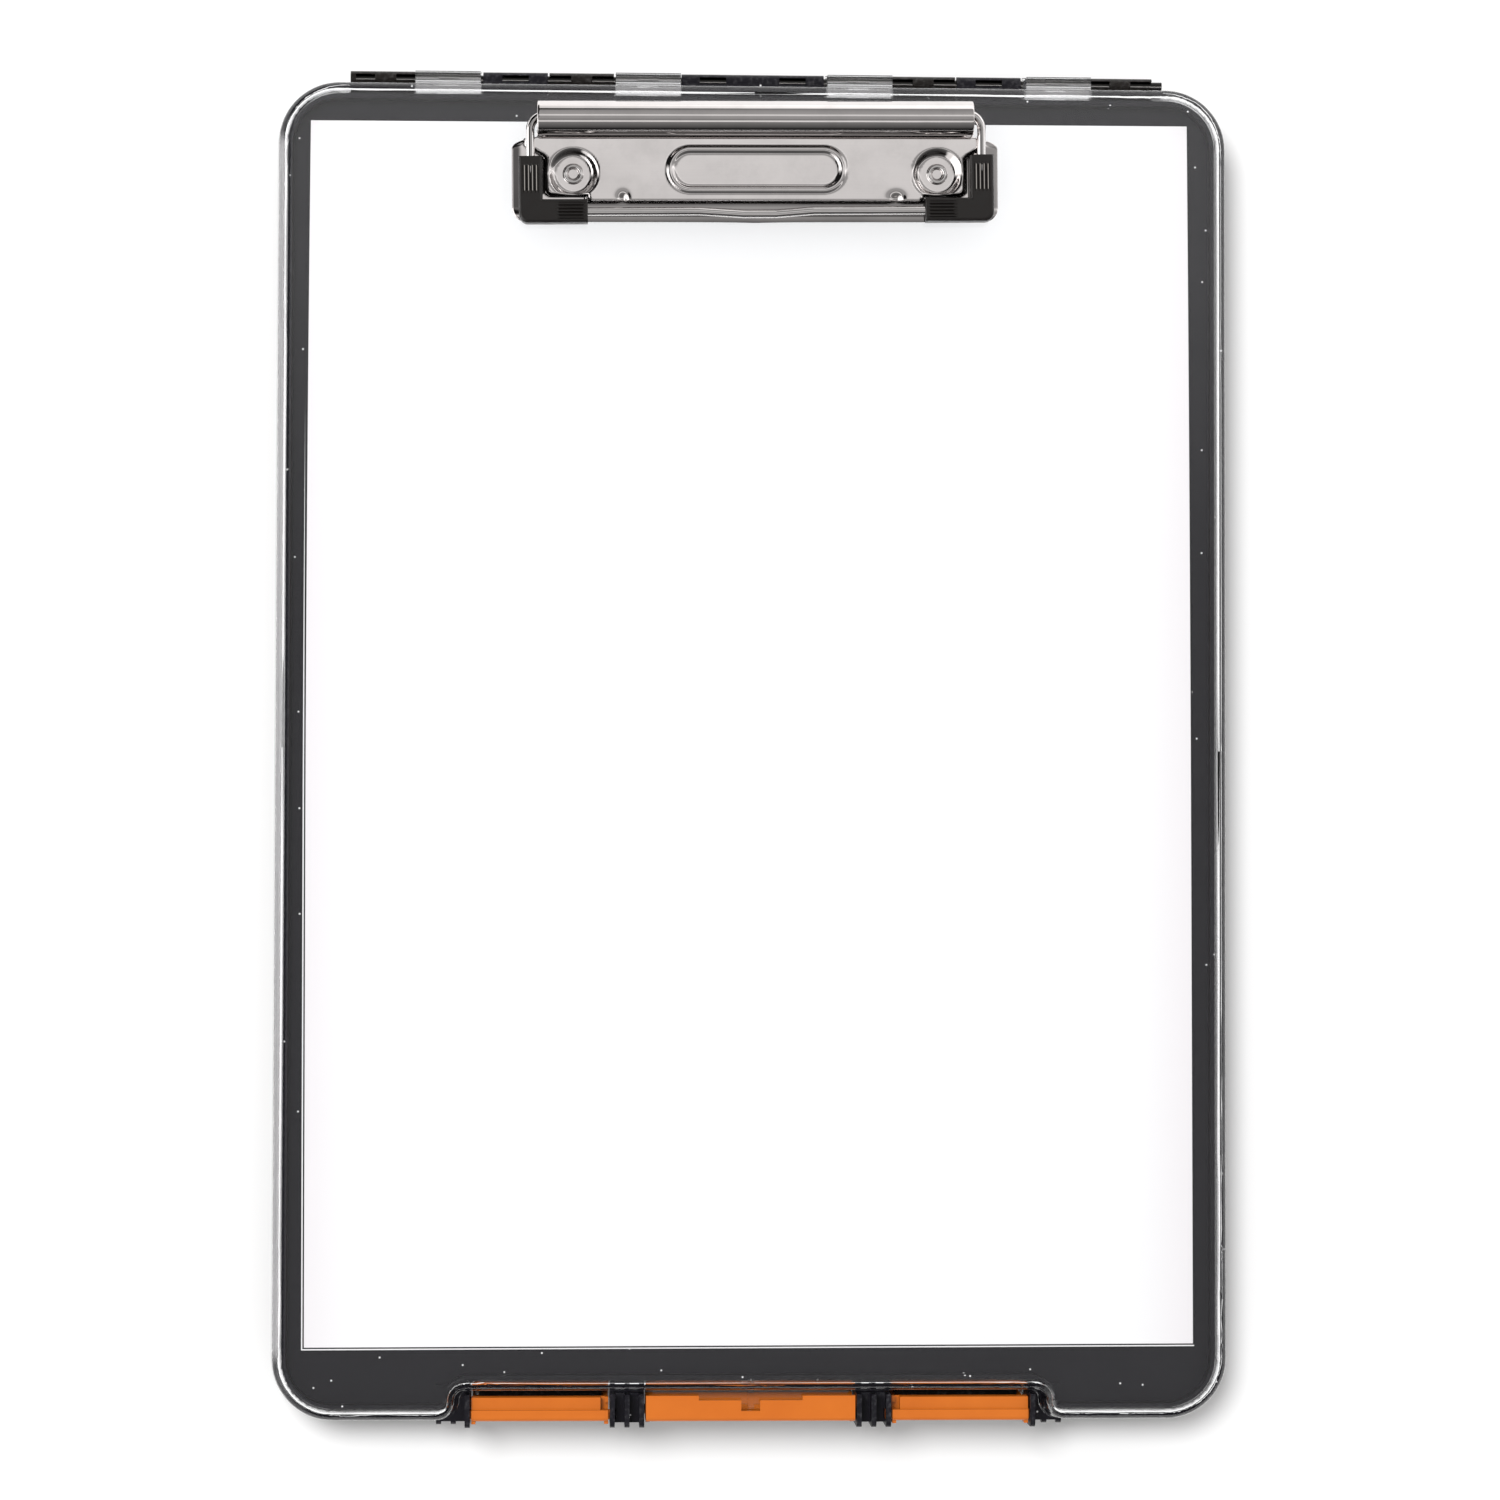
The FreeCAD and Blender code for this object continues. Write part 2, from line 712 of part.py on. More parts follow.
def make_clip_base():
    """Pressed steel base: flange, raised panel, two dimples for the rivets, rolled tube."""
    floor = D["front_top"]
    sheet = D["sheet"]
    top = floor + sheet + D["panel_rise"]
    plate = cut(
        fuse([clip_flange()] + clip_panel(ZERO, (floor, top))),
        clip_panel(sheet, (floor - 1, top - sheet)),
    )
    span = (D["clip_x"] - D["tube_half"], D["clip_x"] + D["tube_half"])
    tube_z = floor + D["tube_radius"]
    tube = rod(span, D["tube_y"], tube_z, D["tube_radius"])
    hollow = rod(span, D["tube_y"], tube_z, D["tube_radius"] - sheet)
    slot_y = (D["tube_y"] - D["tube_radius"] - 1, D["tube_y"] - D["tube_radius"] / 2)
    slot = box(span, slot_y, (top, top + D["tube_slot"]))
    wells = []
    dishes = []
    for x in rivet_centres():
        low = D["dimple_radius"]
        high = D["dimple_top_radius"]
        wells.append(cone(x, D["rivet_y"], (floor, top), low + sheet, high + sheet))
        dishes.append(cone(x, D["rivet_y"], (floor + sheet, top), low, high))
        dishes.append(post(x, D["rivet_y"], (floor - 1, top + 1), D["rivet_radius"]))
    in_front = box(span, (D["clip_front_y"], D["panel_front_y"]), (floor - 1, top + 1))
    wells = cut(fuse(wells), [in_front])
    return cut(fuse([plate, tube, wells]), dishes + [hollow, slot])


def make_clip_rivet(x):
    """Tubular rivet through the clip, the lid and a washer."""
    head_z = D["front_top"] + D["sheet"]
    tail_z = D["front_top"] - D["wall"] - D["washer"]
    high = head_z + D["rivet_head"]
    low = tail_z - D["rivet_head"]
    head = post(x, D["rivet_y"], (head_z, high), D["rivet_head_radius"])
    tail = post(x, D["rivet_y"], (low, tail_z), D["rivet_head_radius"])
    shank = post(x, D["rivet_y"], (tail_z, head_z), D["rivet_radius"])
    bore = post(x, D["rivet_y"], (low, high), D["rivet_bore"])
    return cut(fuse([head, shank, tail]), [bore])


def make_rivet_washer(x):
    """Washer that spreads a rivet's load on the underside of the lid."""
    z = (D["front_top"] - D["wall"] - D["washer"], D["front_top"] - D["wall"])
    disc = post(x, D["rivet_y"], z, D["washer_radius"])
    return cut(disc, [post(x, D["rivet_y"], z, D["rivet_radius"])])


def bail_axis():
    """Where the middle of the bail's axis of rotation lies inside the clip's tube."""
    return Vector(
        DIMENSIONS["clip_x"],
        DIMENSIONS["tube_y"] + DIMENSIONS["bail_axis_back"],
        DIMENSIONS["front_top"] + DIMENSIONS["tube_radius"] + DIMENSIONS["bail_axis_rise"],
    )


def make_wire_bail():
    """One bent wire: two ends in the tube, two arms and the bar that presses the paper."""
    axis = bail_axis()
    run = axis.y - DIMENSIONS["bail_front_y"]
    fall = axis.z - DIMENSIONS["bail_front_z"]
    reach = (run ** 2 + fall ** 2) ** 0.5
    along = Vector(0, -run / reach, -fall / reach)
    half = DIMENSIONS["bail_half"]
    rear = DIMENSIONS["bail_rear_bend"]
    front = DIMENSIONS["bail_front_bend"]
    to_arc_middle = 1 - 0.5 ** 0.5

    def point(x, down):
        return axis + Vector(x, 0, 0) + along * down

    edges = [Part.LineSegment(point(front - half, reach), point(half - front, reach)).toShape()]
    for side in (-1, 1):
        rear_inset = rear * to_arc_middle
        front_inset = front * to_arc_middle
        stations = [
            point(side * DIMENSIONS["bail_end"], 0),
            point(side * (half - rear), 0),
            point(side * (half - rear_inset), rear_inset),
            point(side * half, rear),
            point(side * half, reach - front),
            point(side * (half - front_inset), reach - front_inset),
            point(side * (half - front), reach),
        ]
        edges.append(Part.LineSegment(stations[0], stations[1]).toShape())
        edges.append(Part.Arc(*stations[1:4]).toShape())
        edges.append(Part.LineSegment(stations[3], stations[4]).toShape())
        edges.append(Part.Arc(*stations[4:7]).toShape())
    path = Part.Wire(Part.__sortEdges__(edges))
    start = point(-DIMENSIONS["bail_end"], 0)
    section = Part.Wire(Part.makeCircle(DIMENSIONS["wire_radius"], start, Vector(1, 0, 0)))
    made = doc.addObject("Part::Feature", "wire_bail")
    made.Shape = path.makePipeShell([section], True, False)
    return made


def make_corner_grip(side, wire):
    """L-shaped rubber grip moulded over one front corner of the bail."""
    width = D["grip_width"]
    arm = D["clip_x"] + D["bail_half"] * side
    out = arm + width * (side / 2)
    inward = arm - width * (side / 2)
    far = out - D["grip_front"] * side
    low = D["bail_front_y"] - width / 2
    points = [
        (out, low), (far, low), (far, low + width), (inward, low + width),
        (inward, low + D["grip_side"]), (out, low + D["grip_side"]),
    ]
    body = doc.addObject("PartDesign::Body", "grip")
    bottom = D["front_top"] + D["sheet"] + D["grip_float"]
    sketch = polygon_sketch(body, "XY_Plane", bottom, points)
    last = pad(body, sketch, D["grip_thick"])
    round_edges(body, last, at_height(bottom + D["grip_thick"]), D["grip_radius"])
    return cut(body, [wire])


def make_sheet_of(margin, z, thick):
    """A sheet of paper or card on the tray's divider."""
    half = D["paper_width"] / 2 + margin
    y = (-D["paper_bottom_y"] - margin, D["paper_top_y"] + margin)
    return box((-half, half), y, (z, z + thick))


def make_all():
    """Every sub-part, by the name of its node."""
    floor = D["axis_z"] + D["divider"] / 2
    card = D["backing_thick"]
    wire = make_wire_bail()
    nodes = {
        "front_lid": make_front_lid(),
        "middle_tray": make_middle_tray(),
        "back_lid": make_back_lid(),
        "hinge_pin": make_hinge_pin(),
        "front_latch": make_front_latch(),
        "clip_base": make_clip_base(),
        "wire_bail": wire,
        "backing_card": make_sheet_of(D["backing_margin"], floor, card),
        "paper_sheet": make_sheet_of(ZERO, floor + card, D["paper_thick"]),
    }
    for name, side, x in zip(("left", "right"), (-1, 1), rivet_centres()):
        nodes[f"back_latch_{name}"] = make_back_latch(side)
        nodes[f"corner_grip_{name}"] = make_corner_grip(side, wire)
        nodes[f"clip_rivet_{name}"] = make_clip_rivet(x)
        nodes[f"rivet_washer_{name}"] = make_rivet_washer(x)
    return nodes


def export(nodes):
    """Checks every object and writes one STEP file per node."""
    doc.recompute()
    for thing in doc.Objects:
        if "Invalid" in thing.State or "Error" in thing.State:
            raise RuntimeError(f"{thing.Name} failed: {thing.State}")
    os.makedirs("parts", exist_ok=True)
    for name, thing in nodes.items():
        thing.Label = name
        shape = thing.Shape
        if shape.isNull() or not shape.isValid() or not shape.Solids:
            raise RuntimeError(f"{name} has no valid solid")
        shape.exportStep(f"parts/{name}.step")
        box_of = shape.BoundBox
        print(f"{name}: {len(shape.Solids)} solid(s), {shape.Volume:.0f} mm3,", end=" ")
        print(f"{box_of.XLength:.1f} x {box_of.YLength:.1f} x {box_of.ZLength:.1f}")


export(make_all())
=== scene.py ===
"""Looks of the storage clipboard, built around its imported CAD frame.

Lengths in the functions below are millimetres in the part's own frame, as in the CAD source, and
`build` turns them into metres. +Z points out of the front face and +Y towards the hinge.
"""

import json
import math

import bpy
import numpy as np
from mathutils import Euler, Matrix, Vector


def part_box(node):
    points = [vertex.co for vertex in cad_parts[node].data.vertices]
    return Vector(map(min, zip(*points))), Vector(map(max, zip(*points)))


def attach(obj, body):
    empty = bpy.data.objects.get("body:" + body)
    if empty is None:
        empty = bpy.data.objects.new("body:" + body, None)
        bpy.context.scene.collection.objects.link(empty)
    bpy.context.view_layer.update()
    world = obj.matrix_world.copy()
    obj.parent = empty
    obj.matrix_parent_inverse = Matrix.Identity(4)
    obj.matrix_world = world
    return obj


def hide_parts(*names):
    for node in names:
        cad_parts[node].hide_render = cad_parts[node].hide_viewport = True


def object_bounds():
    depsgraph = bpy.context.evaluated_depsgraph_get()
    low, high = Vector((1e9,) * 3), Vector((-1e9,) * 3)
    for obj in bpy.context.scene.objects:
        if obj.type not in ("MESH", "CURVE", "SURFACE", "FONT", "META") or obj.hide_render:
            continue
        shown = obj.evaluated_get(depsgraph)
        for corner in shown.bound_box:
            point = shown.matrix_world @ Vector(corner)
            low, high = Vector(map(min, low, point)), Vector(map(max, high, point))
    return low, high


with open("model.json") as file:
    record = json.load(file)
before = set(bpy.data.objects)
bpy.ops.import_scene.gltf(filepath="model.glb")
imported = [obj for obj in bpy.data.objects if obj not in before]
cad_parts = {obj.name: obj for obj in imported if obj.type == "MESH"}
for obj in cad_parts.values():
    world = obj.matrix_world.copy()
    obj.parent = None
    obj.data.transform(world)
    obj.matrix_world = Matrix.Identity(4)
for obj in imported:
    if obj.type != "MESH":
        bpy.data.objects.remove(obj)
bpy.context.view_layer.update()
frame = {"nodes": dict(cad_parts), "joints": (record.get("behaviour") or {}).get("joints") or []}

MM = 0.001


# ---------------------------------------------------------------- frame helpers


def node_box(name):
    """Lowest and highest corner of a CAD node in millimetres."""
    low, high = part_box(name)
    return np.array(low) / MM, np.array(high) / MM


def node_middle(name):
    """Middle of a CAD node's box in millimetres."""
    return sum(node_box(name)) / 2


def joint_place(name):
    """Where a joint sits, in millimetres."""
    place = next(joint["pos_m"] for joint in frame["joints"] if joint["name"] == name)
    return np.array(place) / MM


def smooth(low, high, value):
    """0 below low, 1 above high, and a smooth ramp between."""
    share = np.clip((value - low) / (high - low), 0.0, 1.0)
    return share * share * (3 - 2 * share)


# ---------------------------------------------------------------- sizes and places


# The clip's base, pressed from one sheet: half widths, and Y where each part starts
SHEET = 0.8
EDGE_BULGE = 0.25
PLATE_HALF = (node_box("clip_base")[1] - node_middle("clip_base"))[0]
FLANGE_CORNER = 3.4
PANEL_RISE = 1.6
PANEL_HALF = 51.8
PANEL_FRONT = 134.3
NOSE_HALF = 41.6
NOSE_FRONT = 132.7
ROLL_HALF = 53.4
SHOULDER_Y = 148.9
RIVET_SPACING, _, _ = node_middle("clip_rivet_right") - node_middle("clip_rivet_left")
RIVET_Y = node_middle("clip_rivet_left")[1]

# The bead on its panel: centre, half size, corner radius
BEAD = ((0.3, 140.9), (21.2, 5.0), 4.9)
# Small dents along the nose: X and half width
DENTS = ((-32.6, 1.2), (34.5, 1.7))
# Foot radius of the dimple around a rivet, and the width of its wall
DIMPLE_FOOT = 4.45
DIMPLE_WALL = 1.85

# The wire bail, with the line that it lifts about, and its grips
WIRE_RADIUS = 1.05
CLIP_X, BAIL_BACK, _ = joint_place("bail_lift")
GRIP_WIDTH = 5.8
GRIP_CORNER = 2.3
GRIP_EDGE = 0.8
GRIP_FOOT = 0.3
# Ridges on a grip's side leg and front leg: pitch, number, start and length from the leg's end
GRIP_RIDGES = ((0.97, 4, 2.1, 6.6), (0.82, 5, 0.9, 6.4))

# The photographed clip and sheets lie a little askew: turns in degrees
PLATE_SKEW = 0.48
BAIL_SKEW = 0.75
PAPER_TURN = 0.16
# How much narrower a sheet is at its top, on its left and on its right
SHEET_TAPER = (0.85, 0.5)

# The clear lid's flat face: bounds of X and of Y
CLEAR_FACE = ((-111.0, 111.0), (-154.0, 156.5))
# Its hinge arms: bounds of |X|, and of Y in front of their knuckles
CLEAR_ARMS = ((18.1, 34.1), (67.3, 83.3))
CLEAR_ARM_DEPTH = (159.7, 163.6)
# Its left wall, frosted only so that it shows the light falling on that side (painted light), and
# the clear line in it: bounds of X, and of Y
LEFT_WALL = (-118.0, -115.3)
LEFT_WALL_LINE = (-116.6, -116.35)
LEFT_WALL_LENGTH = (-147.0, 146.0)

# Y from which the hinge pin is painted dark as shade, and |X| where the painted shade on the
# paper's long edges starts and ends
PIN_SHADED_FROM = 165.0
PAPER_EDGE_FROM = 92.0
PAPER_EDGE_TO = 110.0


# ---------------------------------------------------------------- materials


class Shader:
    """A material, or a world, whose nodes are made and joined by short calls."""

    def __init__(self, name, collection="materials"):
        self.owner = getattr(bpy.data, collection).new(name)
        self.owner.use_nodes = True
        self.tree = self.owner.node_tree
        self.tree.nodes.clear()

    def node(self, kind, inputs=None, output=0, **settings):
        """Adds a node, sets or links its inputs, and returns one of its outputs."""
        made = self.tree.nodes.new("ShaderNode" + kind)
        for name, value in settings.items():
            setattr(made, name, value)
        for name, value in (inputs or {}).items():
            if isinstance(value, bpy.types.NodeSocket):
                self.tree.links.new(value, made.inputs[name])
            else:
                made.inputs[name].default_value = value
        return made.outputs[output]

    def place(self, stretch=(1.0, 1.0, 1.0), turn=0.0):
        """Object coordinates, turned about Z and stretched by a factor along each axis."""
        coordinates = self.node("TexCoord", output="Object")
        angles = (0.0, 0.0, math.radians(turn))
        return self.node(
            "Mapping", {"Vector": coordinates, "Scale": stretch, "Rotation": angles})

    def split(self, vector):
        """The three numbers of a vector."""
        return self.node("SeparateXYZ", {0: vector}).node.outputs

    def axes(self, turn=0.0):
        """Object coordinates as three numbers."""
        return self.split(self.place(turn=turn))

    def math(self, operation, first, second=0.0):
        """Two numbers combined."""
        return self.node("Math", {0: first, 1: second}, operation=operation)

    def band(self, value, low, high, soft):
        """1 between two bounds, fading to 0 outside them. Millimetres."""
        off = self.math("SUBTRACT", value, (low + high) / 2 * MM)
        half = (high - low) / 2
        return self.step(self.math("ABSOLUTE", off), half, half + soft, 1.0, 0.0)

    def noise(self, scale, detail=3.0, roughness=0.5, stretch=(1.0, 1.0, 1.0)):
        """Noise of a given scale per metre, from 0 to 1."""
        sockets = {
            "Vector": self.place(stretch),
            "Scale": scale,
            "Detail": detail,
            "Roughness": roughness,
        }
        return self.node("TexNoise", sockets)

    def ramp(self, value, low, high, start=0.0, end=1.0):
        """A value between low and high, spread smoothly between start and end."""
        sockets = {
            "Value": value, "From Min": low, "From Max": high, "To Min": start, "To Max": end,
        }
        return self.node("MapRange", sockets, interpolation_type="SMOOTHSTEP")

    def step(self, value, low, high, start=0.0, end=1.0):
        """A ramp between two bounds in millimetres."""
        return self.ramp(value, low * MM, high * MM, start, end)

    def mix(self, factor, first, second):
        """A colour between two others."""
        made = self.tree.nodes.new("ShaderNodeMix")
        made.data_type = "RGBA"
        for socket, value in zip((made.inputs[0], made.inputs[6], made.inputs[7]),
                                 (factor, first, second)):
            if isinstance(value, bpy.types.NodeSocket):
                self.tree.links.new(value, socket)
            else:
                socket.default_value = value if np.isscalar(value) else (*value, 1.0)
        return made.outputs[2]

    def bump(self, height, distance, strength=1.0, normal=None):
        """A normal bent by a height."""
        sockets = {"Height": height, "Distance": distance, "Strength": strength}
        if normal is not None:
            sockets["Normal"] = normal
        return self.node("Bump", sockets)

    def finish(self, sockets):
        """Joins a Principled shader to the output and returns the material."""
        return self.show(self.node("BsdfPrincipled", sockets))

    def show(self, surface, target="Material"):
        """Joins a surface to the output and returns the material or world."""
        output = self.tree.nodes.new("ShaderNodeOutput" + target)
        self.tree.links.new(surface, output.inputs["Surface"])
        return self.owner


def shade_of(colour, share):
    """A colour scaled by a factor."""
    return tuple(min(1.0, c * share) for c in colour)


def moulded_plastic(name, colour, roughness, shine, grain, specks=0.0):
    """Moulded plastic: fine grain, a little mottling, lighter worn edges, dust on upward faces."""
    shader = Shader(name)
    mottle = shader.noise(55.0, 4.0)
    body = shader.mix(mottle, shade_of(colour, 0.82), shade_of(colour, 1.18))
    edges = shader.ramp(shader.node("NewGeometry", output="Pointiness"), 0.52, 0.62)
    scuffs = shader.ramp(shader.noise(900.0, 5.0, 0.65), 0.45, 0.75, 0.0, 0.5)
    worn = shade_of(tuple(c + 0.05 for c in colour), 1.5)
    body = shader.mix(shader.math("MULTIPLY", edges, scuffs), body, worn)
    if specks:
        cells = shader.node(
            "TexVoronoi", {"Vector": shader.place(), "Scale": 75.0},
            output="Distance", voronoi_dimensions="2D")
        dust = shader.ramp(cells, 0.012, 0.022, specks, 0.0)
        facing = shader.node("TexCoord", output="Normal")
        upward = shader.ramp(shader.split(facing)[2], 0.8, 0.95)
        dust = shader.math("MULTIPLY", dust, upward)
        body = shader.mix(dust, body, (0.85, 0.85, 0.85))
    grains = shader.noise(grain, 2.0, 0.6)
    gloss = shader.ramp(shader.noise(220.0, 3.0), 0.3, 0.7, roughness * 0.85, roughness * 1.2)
    return shader.finish({
        "Base Color": body,
        "Roughness": gloss,
        "IOR": 1.49,
        "Specular IOR Level": shine,
        "Normal": shader.bump(grains, 0.00003, 0.3),
    })


def clear_plastic():
    """Clear moulded plastic with faint haze and hairline scratches. Lamps shine through it."""
    shader = Shader("clear_plastic")
    haze = shader.ramp(shader.noise(90.0, 4.0), 0.5, 0.85, 0.0, 0.015)
    scratches = shader.noise(700.0, 2.0, 0.5, (0.06, 1.0, 1.0))
    swell = shader.noise(26.0, 1.0)
    normal = shader.bump(swell, 0.00006, 0.08)
    normal = shader.bump(scratches, 0.000003, 0.06, normal)
    across, along, _ = shader.axes()
    face = shader.math(
        "MULTIPLY",
        *(shader.band(part, *ends, 1.5) for part, ends in zip((across, along), CLEAR_FACE)))
    glass = shader.node("BsdfPrincipled", {
        "Base Color": (0.985, 0.988, 0.992, 1.0),
        "Roughness": haze,
        "IOR": 1.5,
        "Specular IOR Level": shader.ramp(face, 0.0, 1.0, 0.5, 0.1),
        "Transmission Weight": 1.0,
        "Normal": normal,
    })
    outward = shader.math("ABSOLUTE", across)
    arms = shader.math("MAXIMUM", *(shader.band(outward, *arm, 0.2) for arm in CLEAR_ARMS))
    arms = shader.math("MULTIPLY", arms, shader.band(along, *CLEAR_ARM_DEPTH, 0.4))
    # Painted light: frost only on the left wall makes that side lighter, where the light falls;
    # the arms' frost is the plastic's own.
    wall = shader.band(across, *LEFT_WALL, 0.3)
    wall = shader.math("MULTIPLY", wall, shader.band(along, *LEFT_WALL_LENGTH, 5.0))
    line = shader.band(across, *LEFT_WALL_LINE, 0.12)
    wall = shader.math("MULTIPLY", wall, shader.math("SUBTRACT", 1.0, line))
    frost_and_painted_light = shader.math(
        "ADD", shader.math("MULTIPLY", arms, 0.10), shader.math("MULTIPLY", wall, 0.3))
    cloud = shader.node("BsdfDiffuse", {"Color": (0.72, 0.71, 0.72, 1.0)})
    glass = shader.node("MixShader", {0: frost_and_painted_light, 1: glass, 2: cloud})
    open_air = shader.node("BsdfTransparent", {"Color": (0.965, 0.967, 0.97, 1.0)})
    lamps = shader.node("LightPath", output="Is Shadow Ray")
    scattered = shader.node("LightPath", output="Is Diffuse Ray")
    straight = shader.math("MAXIMUM", lamps, scattered)
    return shader.show(shader.node("MixShader", {0: straight, 1: glass, 2: open_air}))


def orange_plastic():
    """Orange moulded plastic, semi-gloss, which colours matt surfaces near it only faintly."""
    shader = Shader("orange_plastic")
    mottle = shader.noise(120.0, 4.0)
    body = shader.mix(mottle, (0.57, 0.128, 0.007), (0.67, 0.168, 0.012))
    scattered = shader.node("LightPath", output="Is Diffuse Ray")
    body = shader.mix(scattered, body, (0.27, 0.24, 0.23))
    flow = shader.noise(60.0, 3.0, 0.5, (0.25, 1.0, 1.0))
    gloss = shader.ramp(flow, 0.3, 0.7, 0.3, 0.42)
    grains = shader.noise(2600.0, 2.0, 0.6)
    return shader.finish({
        "Base Color": body,
        "Roughness": gloss,
        "IOR": 1.49,
        "Normal": shader.bump(grains, 0.00002, 0.25),
    })


def nickel(name, tint=(0.79, 0.755, 0.745), waviness=0.00006, roughness=0.06, painted_lip_shade=False):
    """Bright nickel plate: a soft wave from pressing, faint drawn lines and small stains.

    The clip's base has painted shade: darker colour on its lip, in front of the raised panel, and
    on its ears, for darker reflections and the wire's shadow.
    """
    shader = Shader(name)
    stains = shader.ramp(shader.noise(140.0, 5.0, 0.6), 0.4, 0.75, 0.0, 0.55)
    body = shader.mix(stains, tint, shade_of(tint, 0.86))
    if painted_lip_shade:
        # Painted shade: the base colour goes dark on the lip, in the strip in front of the panel
        # and on the ears.
        across, along, _ = shader.axes(-PLATE_SKEW)
        outward = shader.math("ABSOLUTE", across)
        edge = shader.step(along, 127.8, 129.6, 0.84, 0.55)
        foot = shader.step(along, 131.4, 132.2, 0.0, 0.7)
        lip = shader.math("MAXIMUM", edge, foot)
        lip = shader.math("MULTIPLY", lip, shader.step(along, 133.0, 133.3, 1.0, 0.0))
        lip = shader.math("MULTIPLY", lip, shader.step(outward, 54.0, 57.0, 1.0, 0.0))
        ear = shader.math(
            "MULTIPLY", shader.step(outward, 56.2, 57.0, 0.0, 0.62),
            shader.band(along, 132.0, 146.5, 0.8))
        body = shader.mix(shader.math("MAXIMUM", lip, ear), body, shade_of(tint, 0.05))
    gloss = shader.ramp(shader.noise(420.0, 4.0), 0.3, 0.75, roughness * 0.7, roughness * 1.5)
    wave = shader.bump(shader.noise(85.0, 1.5), waviness, 0.5)
    drawn = shader.noise(2400.0, 2.0, 0.5, (0.02, 1.0, 1.0))
    return shader.finish({
        "Base Color": body,
        "Metallic": 1.0,
        "Roughness": gloss,
        "Normal": shader.bump(drawn, 0.000004, 0.3, wave),
    })


def drawn_steel(name, tint, shaded_from=None):
    """Drawn or plated steel with fine lines along X, and painted shade: dark from a given Y on."""
    shader = Shader(name)
    lines = shader.noise(3000.0, 3.0, 0.6, (0.03, 1.0, 1.0))
    gloss = shader.ramp(lines, 0.3, 0.7, 0.2, 0.34)
    body = shader.mix(lines, shade_of(tint, 0.85), tint)
    if shaded_from:
        # Painted shade: the pin's colour goes dark from this Y on, where it lies in shadow.
        pin_shade = shader.step(shader.axes()[1], shaded_from, shaded_from + 0.2)
        body = shader.mix(pin_shade, body, shade_of(tint, 0.06))
    return shader.finish({
        "Base Color": body,
        "Metallic": 1.0,
        "Roughness": gloss,
        "Normal": shader.bump(lines, 0.000006, 0.4),
    })


def grip_rubber(node):
    """Soft black vinyl, matt, with a fine pebble, and a painted highlight: pale colour on the
    ridges of the side legs.
    """
    shader = Shader("grip_rubber")
    mottle = shader.noise(400.0, 4.0)
    pebble = shader.noise(4200.0, 3.0, 0.6)
    body = shader.mix(mottle, (0.006, 0.005, 0.0045), (0.011, 0.009, 0.008))
    high = node_box(node)[1]
    shift = CLIP_X + BAIL_BACK * math.sin(math.radians(BAIL_SKEW))
    across, along, _ = shader.axes(-BAIL_SKEW)
    outward = shader.math("ABSOLUTE", shader.math("SUBTRACT", across, shift * MM))
    off = shader.math("SUBTRACT", outward, (high[0] - CLIP_X - GRIP_WIDTH / 2) * MM)
    half_pitch = GRIP_RIDGES[0][0] / 2
    # Painted highlight: pale colour on the crests of the side legs' ridges.
    crest_highlight = shader.step(shader.math("PINGPONG", off, half_pitch * MM), 0.36, 0.43)
    leg = shader.math(
        "MULTIPLY", shader.band(off, -1.75, 1.75, 0.1),
        shader.band(along, high[1] - 8.4, high[1] - 2.4, 0.2))
    return shader.finish({
        "Base Color": shader.mix(shader.math("MULTIPLY", crest_highlight, leg), body, (0.30, 0.28, 0.26)),
        "Roughness": shader.ramp(mottle, 0.3, 0.7, 0.28, 0.38),
        "Specular IOR Level": 0.5,
        "Normal": shader.bump(pebble, 0.00002, 0.3),
    })


def paper(tone, edge_shade_tone):
    """White paper with a faint fibre, and painted shade: a darker, warmer tone towards its two
    long edges.
    """
    shader = Shader("paper")
    fibre = shader.noise(2600.0, 5.0, 0.7, (1.0, 0.35, 1.0))
    sheet = shader.mix(fibre, shade_of(tone, 0.985), tone)
    outward = shader.math("ABSOLUTE", shader.axes()[0])
    # Painted shade: the colour goes darker and warmer towards the long edges.
    edge_shade_share = shader.step(outward, PAPER_EDGE_FROM, PAPER_EDGE_TO)
    return shader.finish({
        "Base Color": shader.mix(edge_shade_share, sheet, edge_shade_tone),
        "Roughness": 0.85,
        "Specular IOR Level": 0.2,
        "Normal": shader.bump(fibre, 0.00001, 0.3),
    })


def card(tone, node):
    """White card with a painted shadow: dark in a thin line along the edge of the sheet that lies
    on it.
    """
    shader = Shader("card")
    low, high = node_box(node)
    fibre = shader.noise(1800.0, 4.0, 0.6)
    past = []
    for part, least, most in zip(shader.axes(-PAPER_TURN), low, high[:2]):
        off = shader.math("SUBTRACT", part, (least + most) / 2 * MM)
        past.append(shader.math(
            "SUBTRACT", shader.math("ABSOLUTE", off), (most - least) / 2 * MM))
    distance = shader.math("MAXIMUM", *past)
    # Painted shadow: a thin dark line just outside the edge of the sheet.
    gap = shader.step(distance, 0.34, 0.44, 1.0, 0.0)
    sheet = shader.mix(fibre, shade_of(tone, 0.97), tone)
    return shader.finish({
        "Base Color": shader.mix(gap, sheet, (0.012, 0.012, 0.014)),
        "Roughness": 0.8,
        "Specular IOR Level": 0.2,
        "Normal": shader.bump(fibre, 0.00001, 0.3),
    })


def studio_floor():
    """Seamless white paper under the object."""
    shader = Shader("studio_floor")
    tone = shader.noise(3.0, 2.0)
    return shader.finish({
        "Base Color": shader.mix(tone, (0.93, 0.93, 0.93), (0.95, 0.95, 0.95)),
        "Roughness": 0.9,
        "Specular IOR Level": 0.1,
    })


